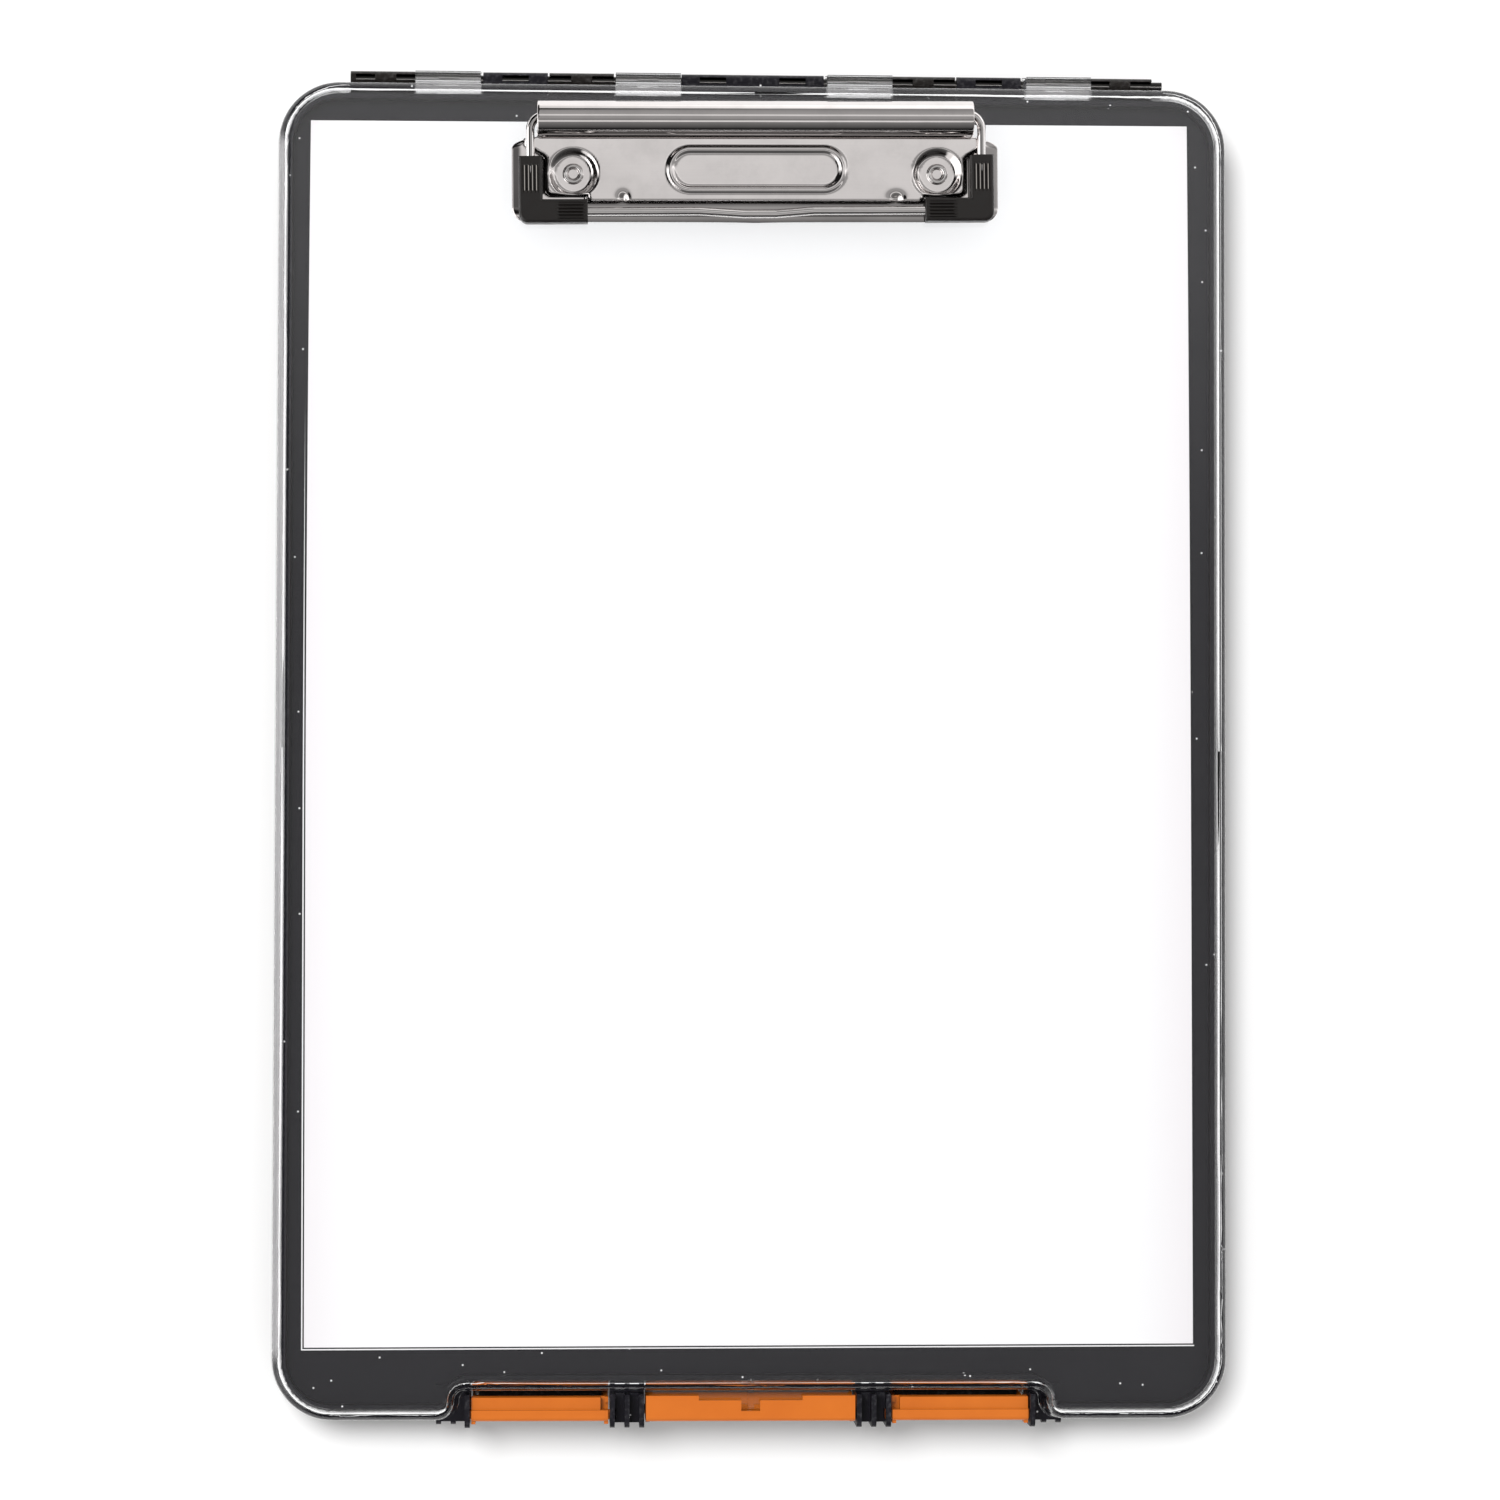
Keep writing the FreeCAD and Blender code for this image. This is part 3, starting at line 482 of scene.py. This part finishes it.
MATERIALS = {
    "clear": clear_plastic(),
    "tray": moulded_plastic(
        "tray_plastic", (0.0095, 0.0088, 0.0122), 0.36, 0.2, 3200.0, specks=0.95),
    "lid": moulded_plastic("lid_plastic", (0.0105, 0.0085, 0.0075), 0.36, 0.3, 3000.0),
    "orange": orange_plastic(),
    "nickel": nickel("nickel_plate", painted_lip_shade=True),
    "wire": nickel("nickel_wire", (0.80, 0.775, 0.765), 0.00003, 0.05),
    "pin": drawn_steel("pin_steel", (0.68, 0.66, 0.64), PIN_SHADED_FROM),
    "washer": drawn_steel("washer_steel", (0.6, 0.6, 0.61)),
    "rubber": grip_rubber("corner_grip_right"),
    "paper": paper((0.965, 0.965, 0.967), (0.90, 0.872, 0.885)),
    "card": card((0.965, 0.96, 0.96), "paper_sheet"),
}

CAD_FINISHES = {
    "front_lid": "clear",
    "middle_tray": "tray",
    "back_lid": "lid",
    "hinge_pin": "pin",
    "front_latch": "orange",
    "back_latch_left": "orange",
    "back_latch_right": "orange",
    "rivet_washer_left": "washer",
    "rivet_washer_right": "washer",
}


# ---------------------------------------------------------------- mesh helpers


def strip_faces(rows, columns, closed=False, first=0):
    """Quads between the rows of a grid of points, whose rows may close on themselves."""
    faces = []
    span = columns if closed else columns - 1
    for row in range(rows - 1):
        for column in range(span):
            after = (column + 1) % columns
            low = first + row * columns
            high = low + columns
            faces.append((low + column, low + after, high + after, high + column))
    return faces


def build(name, points, faces, finish, body, slot, *nodes):
    """A smooth piece from points in millimetres, riding on a body in place of CAD nodes."""
    mesh = bpy.data.meshes.new(name)
    mesh.from_pydata((np.asarray(points) * MM).tolist(), [], faces)
    mesh.polygons.foreach_set("use_smooth", [True] * len(mesh.polygons))
    mesh.materials.append(MATERIALS[finish])
    mesh.update()
    piece = bpy.data.objects.new(name, mesh)
    bpy.context.scene.collection.objects.link(piece)
    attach(piece, body)
    if nodes:
        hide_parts(*nodes)
    return piece


def turned(points, angle, centre):
    """Points turned by a few degrees about a vertical axis."""
    points = np.array(points, float)
    c, s = math.cos(math.radians(angle)), math.sin(math.radians(angle))
    x, y = points[:, 0] - centre[0], points[:, 1] - centre[1]
    points[:, 0] = centre[0] + x * c - y * s
    points[:, 1] = centre[1] + x * s + y * c
    return points


def perimeter(rows, columns):
    """Indices around the edge of a grid, in order."""
    front = [(0, c) for c in range(columns)]
    right = [(r, columns - 1) for r in range(1, rows)]
    back = [(rows - 1, c) for c in range(columns - 2, -1, -1)]
    left = [(r, 0) for r in range(rows - 2, 0, -1)]
    return np.array(front + right + back + left)


def thick_sheet(top, thickness, bulge):
    """Closed shell below a grid of points: its underside, and a rounded edge all round."""
    rows, columns, _ = top.shape
    along = np.gradient(top, axis=0)
    across = np.gradient(top, axis=1)
    normal = np.cross(across, along)
    normal /= np.linalg.norm(normal, axis=2, keepdims=True)
    bottom = top - normal * thickness
    edge = perimeter(rows, columns)
    r, c = edge[:, 0], edge[:, 1]
    out = np.zeros((len(edge), 3))
    for index, count, tangent in ((r, rows, along), (c, columns, across)):
        unit = tangent[r, c] / np.linalg.norm(tangent[r, c], axis=1, keepdims=True)
        sign = np.where(index == 0, -1.0, np.where(index == count - 1, 1.0, 0.0))
        out += unit * sign[:, None]
    out /= np.linalg.norm(out, axis=1, keepdims=True)
    middle = (top[r, c] + bottom[r, c]) / 2
    rim = [
        middle + out * bulge * math.cos(a) + normal[r, c] * thickness / 2 * math.sin(a)
        for a in np.radians((50.0, 20.0, -20.0, -50.0))
    ]
    size = rows * columns
    points = np.concatenate([top.reshape(-1, 3), bottom.reshape(-1, 3)] + rim)
    faces = strip_faces(rows, columns)
    faces += [tuple(reversed(f)) for f in strip_faces(rows, columns, first=size)]
    first = r * columns + c
    loops = [first] + [size * 2 + len(edge) * k + np.arange(len(edge)) for k in range(len(rim))]
    loops.append(first + size)
    for upper, lower in zip(loops, loops[1:]):
        for k in range(len(edge)):
            after = (k + 1) % len(edge)
            faces.append((int(upper[after]), int(upper[k]), int(lower[k]), int(lower[after])))
    return points, faces


def lathe(profile, centre, steps=64):
    """A closed ring from a closed profile of (radius, height), turned about a vertical axis."""
    turn = np.linspace(0, 2 * math.pi, steps, endpoint=False)
    rings = [
        np.stack([centre[0] + r * np.cos(turn), centre[1] + r * np.sin(turn),
                  np.full(steps, centre[2] + z)], axis=1)
        for r, z in profile
    ]
    points = np.concatenate(rings + rings[:1])
    return points, strip_faces(len(profile) + 1, steps, closed=True)


def rounded_path(corners, radii, step=4.0):
    """A path through corners with an arc of its own radius at each inner one."""
    path = [np.array(corners[0], float)]
    for before, here, after, radius in zip(corners, corners[1:], corners[2:], radii):
        here = np.array(here, float)
        back = np.array(before, float) - here
        ahead = np.array(after, float) - here
        back /= np.linalg.norm(back)
        ahead /= np.linalg.norm(ahead)
        half = math.acos(np.clip(back @ ahead, -1, 1)) / 2
        centre = here + (back + ahead) / np.linalg.norm(back + ahead) * radius / math.sin(half)
        start = here + back * radius / math.tan(half) - centre
        end = here + ahead * radius / math.tan(half) - centre
        sweep = math.pi - 2 * half
        count = max(2, int(math.degrees(sweep) / step))
        for share in np.linspace(0, 1, count + 1):
            weights = math.sin((1 - share) * sweep), math.sin(share * sweep)
            path.append(centre + (start * weights[0] + end * weights[1]) / math.sin(sweep))
    path.append(np.array(corners[-1], float))
    return np.array(path)


def tube(path, radius, sides=24):
    """A round wire along a path, with rounded ends."""
    ends = [(0.0, 0.05), (0.12, 0.55), (0.45, 0.9)]
    first = [path[0] + (path[1] - path[0]) / np.linalg.norm(path[1] - path[0]) * radius * back
             for back, _ in ends]
    last = [path[-1] + (path[-2] - path[-1]) / np.linalg.norm(path[-2] - path[-1]) * radius * back
            for back, _ in reversed(ends)]
    line = np.array(first + list(path[1:-1]) + last)
    scale = np.ones(len(line))
    scale[:3] = [share for _, share in ends]
    scale[-3:] = [share for _, share in reversed(ends)]
    tangent = np.gradient(line, axis=0)
    tangent /= np.linalg.norm(tangent, axis=1, keepdims=True)
    side = np.cross(tangent[0], (0.0, 0.0, 1.0))
    turn = np.linspace(0, 2 * math.pi, sides, endpoint=False)
    rings = []
    for point, ahead, share in zip(line, tangent, scale):
        side = side - ahead * (side @ ahead)
        side /= np.linalg.norm(side)
        up = np.cross(side, ahead)
        ring = np.outer(np.cos(turn), side) + np.outer(np.sin(turn), up)
        rings.append(point + ring * radius * share)
    points = np.concatenate(rings)
    faces = strip_faces(len(line), sides, closed=True)
    faces.append(tuple(range(sides - 1, -1, -1)))
    faces.append(tuple(range(len(points) - sides, len(points))))
    return points, faces


# ---------------------------------------------------------------- clip


def rounded_box_distance(x, y, centre, half, radius):
    """Distance outside a rounded rectangle, negative inside."""
    dx = np.abs(x - centre[0]) - (half[0] - radius)
    dy = np.abs(y - centre[1]) - (half[1] - radius)
    outside = np.hypot(np.maximum(dx, 0), np.maximum(dy, 0))
    return outside + np.minimum(np.maximum(dx, dy), 0) - radius


def dimple(reach):
    """Height share of a dimple at a distance from its rivet."""
    wall = np.clip((reach - DIMPLE_FOOT) / DIMPLE_WALL, 0.0, 1.0)
    return 0.75 * wall + 0.25 * smooth(0.0, 1.0, wall)


def panel_height(x, y, roll_front):
    """Height of the pressed plate above its flange, before the roll at its back."""
    back = roll_front + 12.0

    def raised(across, half, front, corner):
        """Distance outside a raised area that runs on under the roll."""
        return rounded_box_distance(
            across, y, (0, (front + back) / 2), (half, (back - front) / 2), corner)

    widening = smooth(143.5, 147.4, y) * (ROLL_HALF + 3.0 - PANEL_HALF)
    panel = raised(x / (PANEL_HALF + widening) * PANEL_HALF, PANEL_HALF, PANEL_FRONT, 2.0)
    nose = raised(x, NOSE_HALF, NOSE_FRONT, 1.5)
    height = PANEL_RISE * smooth(0.0, 0.75, -np.minimum(panel, nose))
    for side in (-1, 1):
        height = height * dimple(np.hypot(x - side * RIVET_SPACING / 2, y - RIVET_Y))
    bead = rounded_box_distance(x, y, *BEAD)
    height = height + 0.5 * smooth(1.1, 0.2, np.abs(bead))
    height = height - 0.12 * smooth(-0.6, -1.4, bead)
    for place, wide in DENTS:
        dent = ((x - place) / wide) ** 2 + ((y - NOSE_FRONT - 0.9) / 1.5) ** 2
        height = height - 1.15 * np.exp(-dent * 1.4)
    return np.maximum(height, 0.0)


def plate_half(y, front):
    """Half the plate's width at y: rounded front corners, and curved shoulders at the roll."""
    half = PLATE_HALF - EDGE_BULGE
    r = FLANGE_CORNER
    depth = np.clip(r - (y - front), 0, r)
    rounded = half - r + np.sqrt(r * r - depth * depth)
    turn = np.clip((y - SHOULDER_Y) / 2.6 + 1, 0, 1)
    return np.minimum(rounded, half - (half - ROLL_HALF) * (1 - np.sqrt(1 - turn * turn)))


def make_clip_base():
    """Pressed base: flange, raised panel with dimples, bead and dents, and the roll behind."""
    low, high = node_box("clip_base")
    middle = (low[0] + high[0]) / 2
    floor = low[2] + SHEET
    front = low[1] + EDGE_BULGE
    radius = (high[2] - low[2]) / 2
    roll_y = high[1] - radius
    roll_z = low[2] + radius
    bend_start = roll_y - radius * 0.62
    corner = front + FLANGE_CORNER * (1 - np.cos(np.linspace(0, math.pi / 2, 12)))
    flat = np.linspace(corner[-1], bend_start, 92)[1:]
    levels = np.concatenate([corner, flat])
    columns = np.linspace(-1, 1, 277)
    grid_y = np.repeat(levels[:, None], len(columns), axis=1)
    half = plate_half(levels, front)
    grid_x = half[:, None] * columns[None, :]
    height = panel_height(grid_x, grid_y, bend_start)
    ripple = 0.012 * np.sin(grid_x * 0.21 + 0.6) * np.sin(grid_y * 0.33 + 1.0)
    lip = np.clip(1 - (grid_y - front) / 1.7, 0, 1)
    side = np.clip(1 - (half[:, None] - np.abs(grid_x)) / 3.0, 0, 1)
    height = height - 0.5 * lip - 0.3 * side ** 2
    plate = np.stack([grid_x + middle, grid_y, floor + height + ripple], axis=2)
    # The roll: a short ramp up from the panel, then most of a turn of the sheet's inner face
    inner = radius - SHEET
    angles = np.radians(np.linspace(222.0, 532.0, 64))
    roll = np.stack([roll_y + inner * np.cos(angles), roll_z + inner * np.sin(angles)], axis=1)
    lead = np.array([bend_start, floor + PANEL_RISE])
    bridge = [lead + (roll[0] - lead) * share for share in (0.35, 0.7)]
    across = columns * (ROLL_HALF - EDGE_BULGE) + middle
    rows = [
        np.stack([across, np.full(len(columns), y), np.full(len(columns), z)], axis=1)
        for y, z in np.concatenate([bridge, roll])
    ]
    top = np.concatenate([plate, np.array(rows)])
    points, faces = thick_sheet(top, SHEET, EDGE_BULGE)
    points = turned(points, PLATE_SKEW, (middle, RIVET_Y))
    return build("clip_plate", points, faces, "nickel", "front_lid", "nickel_plate", "clip_base")


def make_wire():
    """Bent spring wire: two ends in the roll, two arms, and a bar that dips in its middle."""
    low, high = node_box("wire_bail")
    middle = (low[0] + high[0]) / 2
    half = (high[0] - low[0]) / 2 - WIRE_RADIUS
    back = high[1] - WIRE_RADIUS
    front = low[1] + WIRE_RADIUS
    top = high[2] - WIRE_RADIUS
    bottom = low[2] + WIRE_RADIUS
    dip = front - 0.7
    right = [
        (middle + 14.0, front, bottom),
        (middle + half, front, bottom),
        (middle + half, back, top),
        (middle + 22.0, back, top),
    ]
    left = [(2 * middle - x, y, z) for x, y, z in reversed(right)]
    corners = left + [(middle - 3.2, dip, bottom), (middle + 4.8, dip, bottom)] + right
    # Back and front bends of an arm, then the two easy bends of the dip
    bends = [3.6, 3.0, 6.0, 6.0]
    radii = bends + bends[::-1]
    points, faces = tube(rounded_path(corners, radii), WIRE_RADIUS)
    points = turned(points, BAIL_SKEW, (middle, back))
    return build("bail_wire", points, faces, "wire", "wire_bail", "nickel_wire", "wire_bail")


def grip_stations(side, low, high):
    """Outer point, inner point, distance from the leg's end, and leg, all along a grip."""
    outer_x, end_x = (low[0], high[0]) if side < 0 else (high[0], low[0])
    inner_x = outer_x - side * GRIP_WIDTH
    front, back = low[1], high[1]
    inner_y = front + GRIP_WIDTH
    stations = [
        ((outer_x, y), (inner_x, y), back - y, 0) for y in np.linspace(back, inner_y + 0.01, 34)
    ]
    centre = (outer_x - side * GRIP_CORNER, front + GRIP_CORNER)
    for a in np.linspace(0, math.pi / 2, 14):
        outside = (centre[0] + side * GRIP_CORNER * math.cos(a),
                   centre[1] - GRIP_CORNER * math.sin(a))
        stations.append((outside, (inner_x, inner_y), 0.0, 0))
    for x in np.linspace(inner_x, end_x, 30)[1:]:
        stations.append(((x, front), (x, inner_y), abs(end_x - x), 1))
    return stations


def make_grip(side, name, node):
    """Grooved rubber grip around one front corner of the wire."""
    low, high = node_box(node)
    bottom, top = low[2], high[2]
    across = np.concatenate([[0.0, 0.02, 0.06], np.linspace(0.1, 0.9, 61), [0.94, 0.98, 1.0]])
    inset = GRIP_FOOT / GRIP_WIDTH
    underside = ((1.0, GRIP_FOOT), (1.0 - inset, 0.0), (inset, 0.0), (0.0, GRIP_FOOT))
    sections = []
    for outside, inside, distance, leg in grip_stations(side, low, high):
        outside, inside = np.array(outside), np.array(inside)
        pitch, count, start, length = GRIP_RIDGES[leg]
        grooved = smooth(start, start + 0.25, distance) * smooth(
            start + length, start + length - 0.25, distance)
        ring = []
        for share in across:
            reach = min(share, 1 - share) * GRIP_WIDTH
            slope = max(GRIP_EDGE - reach, 0)
            drop = GRIP_EDGE - math.sqrt(max(GRIP_EDGE ** 2 - slope ** 2, 0))
            offset = (share - 0.5) * GRIP_WIDTH
            wave = abs(((offset / pitch + count / 2) % 1) - 0.5) * 2
            ridged = abs(offset) < pitch * count / 2
            groove = grooved * ridged * 0.5 * smooth(0.3, 0.95, wave)
            ring.append((*(outside + (inside - outside) * share), top - drop - groove))
        for share, lift in underside:
            ring.append((*(outside + (inside - outside) * share), bottom + lift))
        sections.append(ring)
    count = len(sections[0])
    points = np.concatenate(sections)
    faces = strip_faces(len(sections), count, closed=True)
    faces.append(tuple(range(count - 1, -1, -1)))
    faces.append(tuple(range(len(points) - count, len(points))))
    if side > 0:
        faces = [tuple(reversed(f)) for f in faces]
    points = turned(points, BAIL_SKEW, (CLIP_X, BAIL_BACK))
    return build(name, points, faces, "rubber", "wire_bail", "grip_rubber", node)


def make_eyelet(name, node):
    """Tubular rivet: a curled head, a shank, and a curled tail under the washer."""
    low, high = node_box(node)
    centre = ((low[0] + high[0]) / 2, (low[1] + high[1]) / 2, 0.0)
    outer = (high[0] - low[0]) / 2
    bore, shank = 1.15, 1.55
    crown = high[2] + 0.25
    head = high[2] - 0.6
    tail = low[2]
    # Up the bore, over the curled head, down the shank and round the curled tail
    profile = [
        (bore, tail + 0.8), (bore, head - 0.5), (1.05, head - 0.1), (1.35, head + 0.35),
    ]
    for turn in np.radians(np.linspace(150, -60, 10)):
        profile.append((1.95 + 0.55 * math.cos(turn), crown - 0.55 + 0.5 * math.sin(turn)))
    profile += [
        (outer, head + 0.12), (outer - 0.1, head), (shank, head),
        (shank, tail + 0.6), (outer - 0.2, tail + 0.55), (outer, tail + 0.3),
        (outer - 0.3, tail), (1.5, tail + 0.1),
    ]
    points, faces = lathe(profile, centre)
    points = turned(points, PLATE_SKEW, (CLIP_X, RIVET_Y))
    return build(name, points, faces, "wire", "front_lid", "nickel_plate", node)


# ---------------------------------------------------------------- sheets


def crisp(count):
    """Places from -1 to 1 whose first and last steps are tiny, so that the edge stays sharp."""
    return np.concatenate([[-1.0], np.linspace(-0.999, 0.999, count), [1.0]])


def make_sheet(name, node, finish, short_by):
    """A flat sheet of paper or card, turned a little, narrower at its top, with crisp edges.

    It stays short of its node's box by some millimetres on the right and at the top.
    """
    low, high = node_box(node)
    high[:2] -= short_by
    centre = (low + high) / 2
    half = (high - low) / 2
    along, across = np.meshgrid(crisp(25), crisp(7), indexing="ij")
    left, right = SHEET_TAPER
    taper = np.where(across < 0, left, right) * across * np.clip((along + 0.2) / 1.2, 0, 1) ** 2
    flat = np.stack([
        centre[0] + across * half[0] - taper,
        centre[1] + along * half[1],
        np.full(across.shape, high[2]),
    ], axis=2)
    top = turned(flat.reshape(-1, 3), PAPER_TURN, centre).reshape(flat.shape)
    points, faces = thick_sheet(top, high[2] - low[2], 0.03)
    return build(name, points, faces, finish, "middle_tray", finish, node)


# ---------------------------------------------------------------- studio


# Brightness of the white that matt surfaces see all round them
FILL = 0.62

# Brightness of the arch over the clipboard, by degrees from straight up, to the back positive
STUDIO_ARCH = [
    (-178, 0.3), (-120, 0.05), (-80, 0.015), (-66, 0.10), (-45, 0.18), (-34, 0.24),
    (-30, 1.0), (-24, 0.70), (-20, 0.22), (-12, 0.30), (-9, 0.36), (4, 0.37),
    (8.5, 0.72), (14, 0.95), (17, 0.42), (35, 0.36), (56, 0.26), (62, 1.4),
    (150, 1.4), (178, 0.3),
]

# Soft boxes and dark walls: direction, degrees from it where one fades out and where it is full,
# and what it adds
STUDIO_LOBES = [
    ((-1.0, -0.05, 0.2), 46.0, 28.0, 1.3),
    ((-0.75, -0.6, 0.3), 30.0, 18.0, 0.9),
    ((-0.6, 0.7, 0.3), 44.0, 26.0, -1.5),
    ((-0.42, 0.15, 0.9), 20.0, 12.0, -0.5),
    ((1.0, 0.35, 0.3), 30.0, 18.0, 0.6),
]
DARKEST = 0.01

# Metres, watts and degrees
KEY_PLACE = (-0.55, 0.55, 2.0)
KEY_SIZE = 0.85
KEY_POWER = 33.0
FLOOR_REACH = 6.0
CAMERA_PLACE = (-0.0425, -0.0330, 1.0453)
CAMERA_TURN = (1.767, -2.353, 0.144)


def make_world():
    """A white studio for matt surfaces. Shiny ones mirror soft boxes, gaps and dark walls."""
    shader = Shader("studio", "worlds")
    bpy.context.scene.world = shader.owner
    shader.owner.cycles.sampling_method = "NONE"
    direction = shader.node("TexCoord", output="Generated")
    _, back, up = shader.split(direction)
    tilt = shader.math("ARCTAN2", back, up)
    turn = shader.math("ADD", shader.math("DIVIDE", tilt, 2 * math.pi), 0.5)
    level = shader.node("ValToRGB", {0: turn})
    stops = level.node.color_ramp.elements
    while len(stops) < len(STUDIO_ARCH):
        stops.new(0.5)
    for stop, (angle, brightness) in zip(stops, STUDIO_ARCH):
        stop.position = angle / 360 + 0.5
        stop.color = (brightness, brightness, brightness, 1.0)
    for middle, wide, narrow, strength in STUDIO_LOBES:
        toward = shader.node(
            "VectorMath", {0: direction, 1: Vector(middle).normalized()},
            output="Value", operation="DOT_PRODUCT")
        reach = (math.cos(math.radians(angle)) for angle in (wide, narrow))
        level = shader.math("ADD", level, shader.ramp(toward, *reach, 0.0, strength))
    level = shader.math("MAXIMUM", level, DARKEST)
    matt = shader.node("LightPath", output="Is Diffuse Ray")
    level = shader.math("MULTIPLY", level, shader.math("SUBTRACT", 1.0, matt))
    level = shader.math("ADD", level, shader.math("MULTIPLY", matt, FILL))
    tint = (1.0, 0.992, 0.988, 1.0)
    shader.show(shader.node("Background", {"Strength": level, "Color": tint}), "World")


def make_key():
    """A round soft box, behind and to the left, that glossy and clear plastic don't mirror."""
    data = bpy.data.lights.new("key", "AREA")
    data.shape = "DISK"
    data.size = KEY_SIZE
    data.energy = KEY_POWER
    light = bpy.data.objects.new("key", data)
    light.location = KEY_PLACE
    light.visible_glossy = False
    light.visible_transmission = False
    light.rotation_euler = (-Vector(KEY_PLACE)).to_track_quat("-Z", "Y").to_euler()
    bpy.context.scene.collection.objects.link(light)
    return light


def pass_light(light, pieces):
    """Keeps some pieces from casting this light's shadow, as a wide soft box would."""
    unshaded = bpy.data.collections.new("unshaded")
    for piece in pieces:
        unshaded.objects.link(piece)
    light.light_linking.blocker_collection = unshaded
    for entry in unshaded.collection_objects:
        entry.light_linking.link_state = "EXCLUDE"


def make_floor():
    """The pale sheet that the clipboard lies on."""
    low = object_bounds()[0]
    mesh = bpy.data.meshes.new("floor")
    corners = [
        (x * FLOOR_REACH, y * FLOOR_REACH, low.z) for x, y in ((-1, -1), (1, -1), (1, 1), (-1, 1))
    ]
    mesh.from_pydata(corners, [], [(0, 1, 2, 3)])
    mesh.materials.append(studio_floor())
    floor = bpy.data.objects.new("floor", mesh)
    bpy.context.scene.collection.objects.link(floor)


def make_camera():
    """A 100 mm lens a metre above the clipboard, a little to its left."""
    data = bpy.data.cameras.new("camera")
    data.lens = 100.0
    data.sensor_width = 36.0
    camera = bpy.data.objects.new("camera", data)
    camera.location = CAMERA_PLACE
    camera.rotation_euler = Euler([math.radians(a) for a in CAMERA_TURN], "XYZ")
    bpy.context.scene.collection.objects.link(camera)
    bpy.context.scene.camera = camera


def paint_cad():
    """Gives each CAD node that stays its finish."""
    for node, finish in CAD_FINISHES.items():
        piece = frame["nodes"][node]
        piece.data.materials.clear()
        piece.data.materials.append(MATERIALS[finish])


paint_cad()
clip = [
    make_clip_base(),
    make_wire(),
    make_grip(-1, "grip_left", "corner_grip_left"),
    make_grip(1, "grip_right", "corner_grip_right"),
    make_eyelet("eyelet_left", "clip_rivet_left"),
    make_eyelet("eyelet_right", "clip_rivet_right"),
]
make_sheet("paper_top", "paper_sheet", "paper", (0.55, 0.0))
make_sheet("card_under", "backing_card", "card", (0.9, 1.25))

make_world()
make_floor()
washers = [frame["nodes"][f"rivet_washer_{side}"] for side in ("left", "right")]
pass_light(make_key(), clip + washers)
make_camera()

scene = bpy.context.scene
scene.view_settings.view_transform = "Standard"
scene.cycles.caustics_refractive = False
scene.cycles.caustics_reflective = False
scene.cycles.max_bounces = 16
scene.cycles.transmission_bounces = 14
scene.cycles.transparent_max_bounces = 16
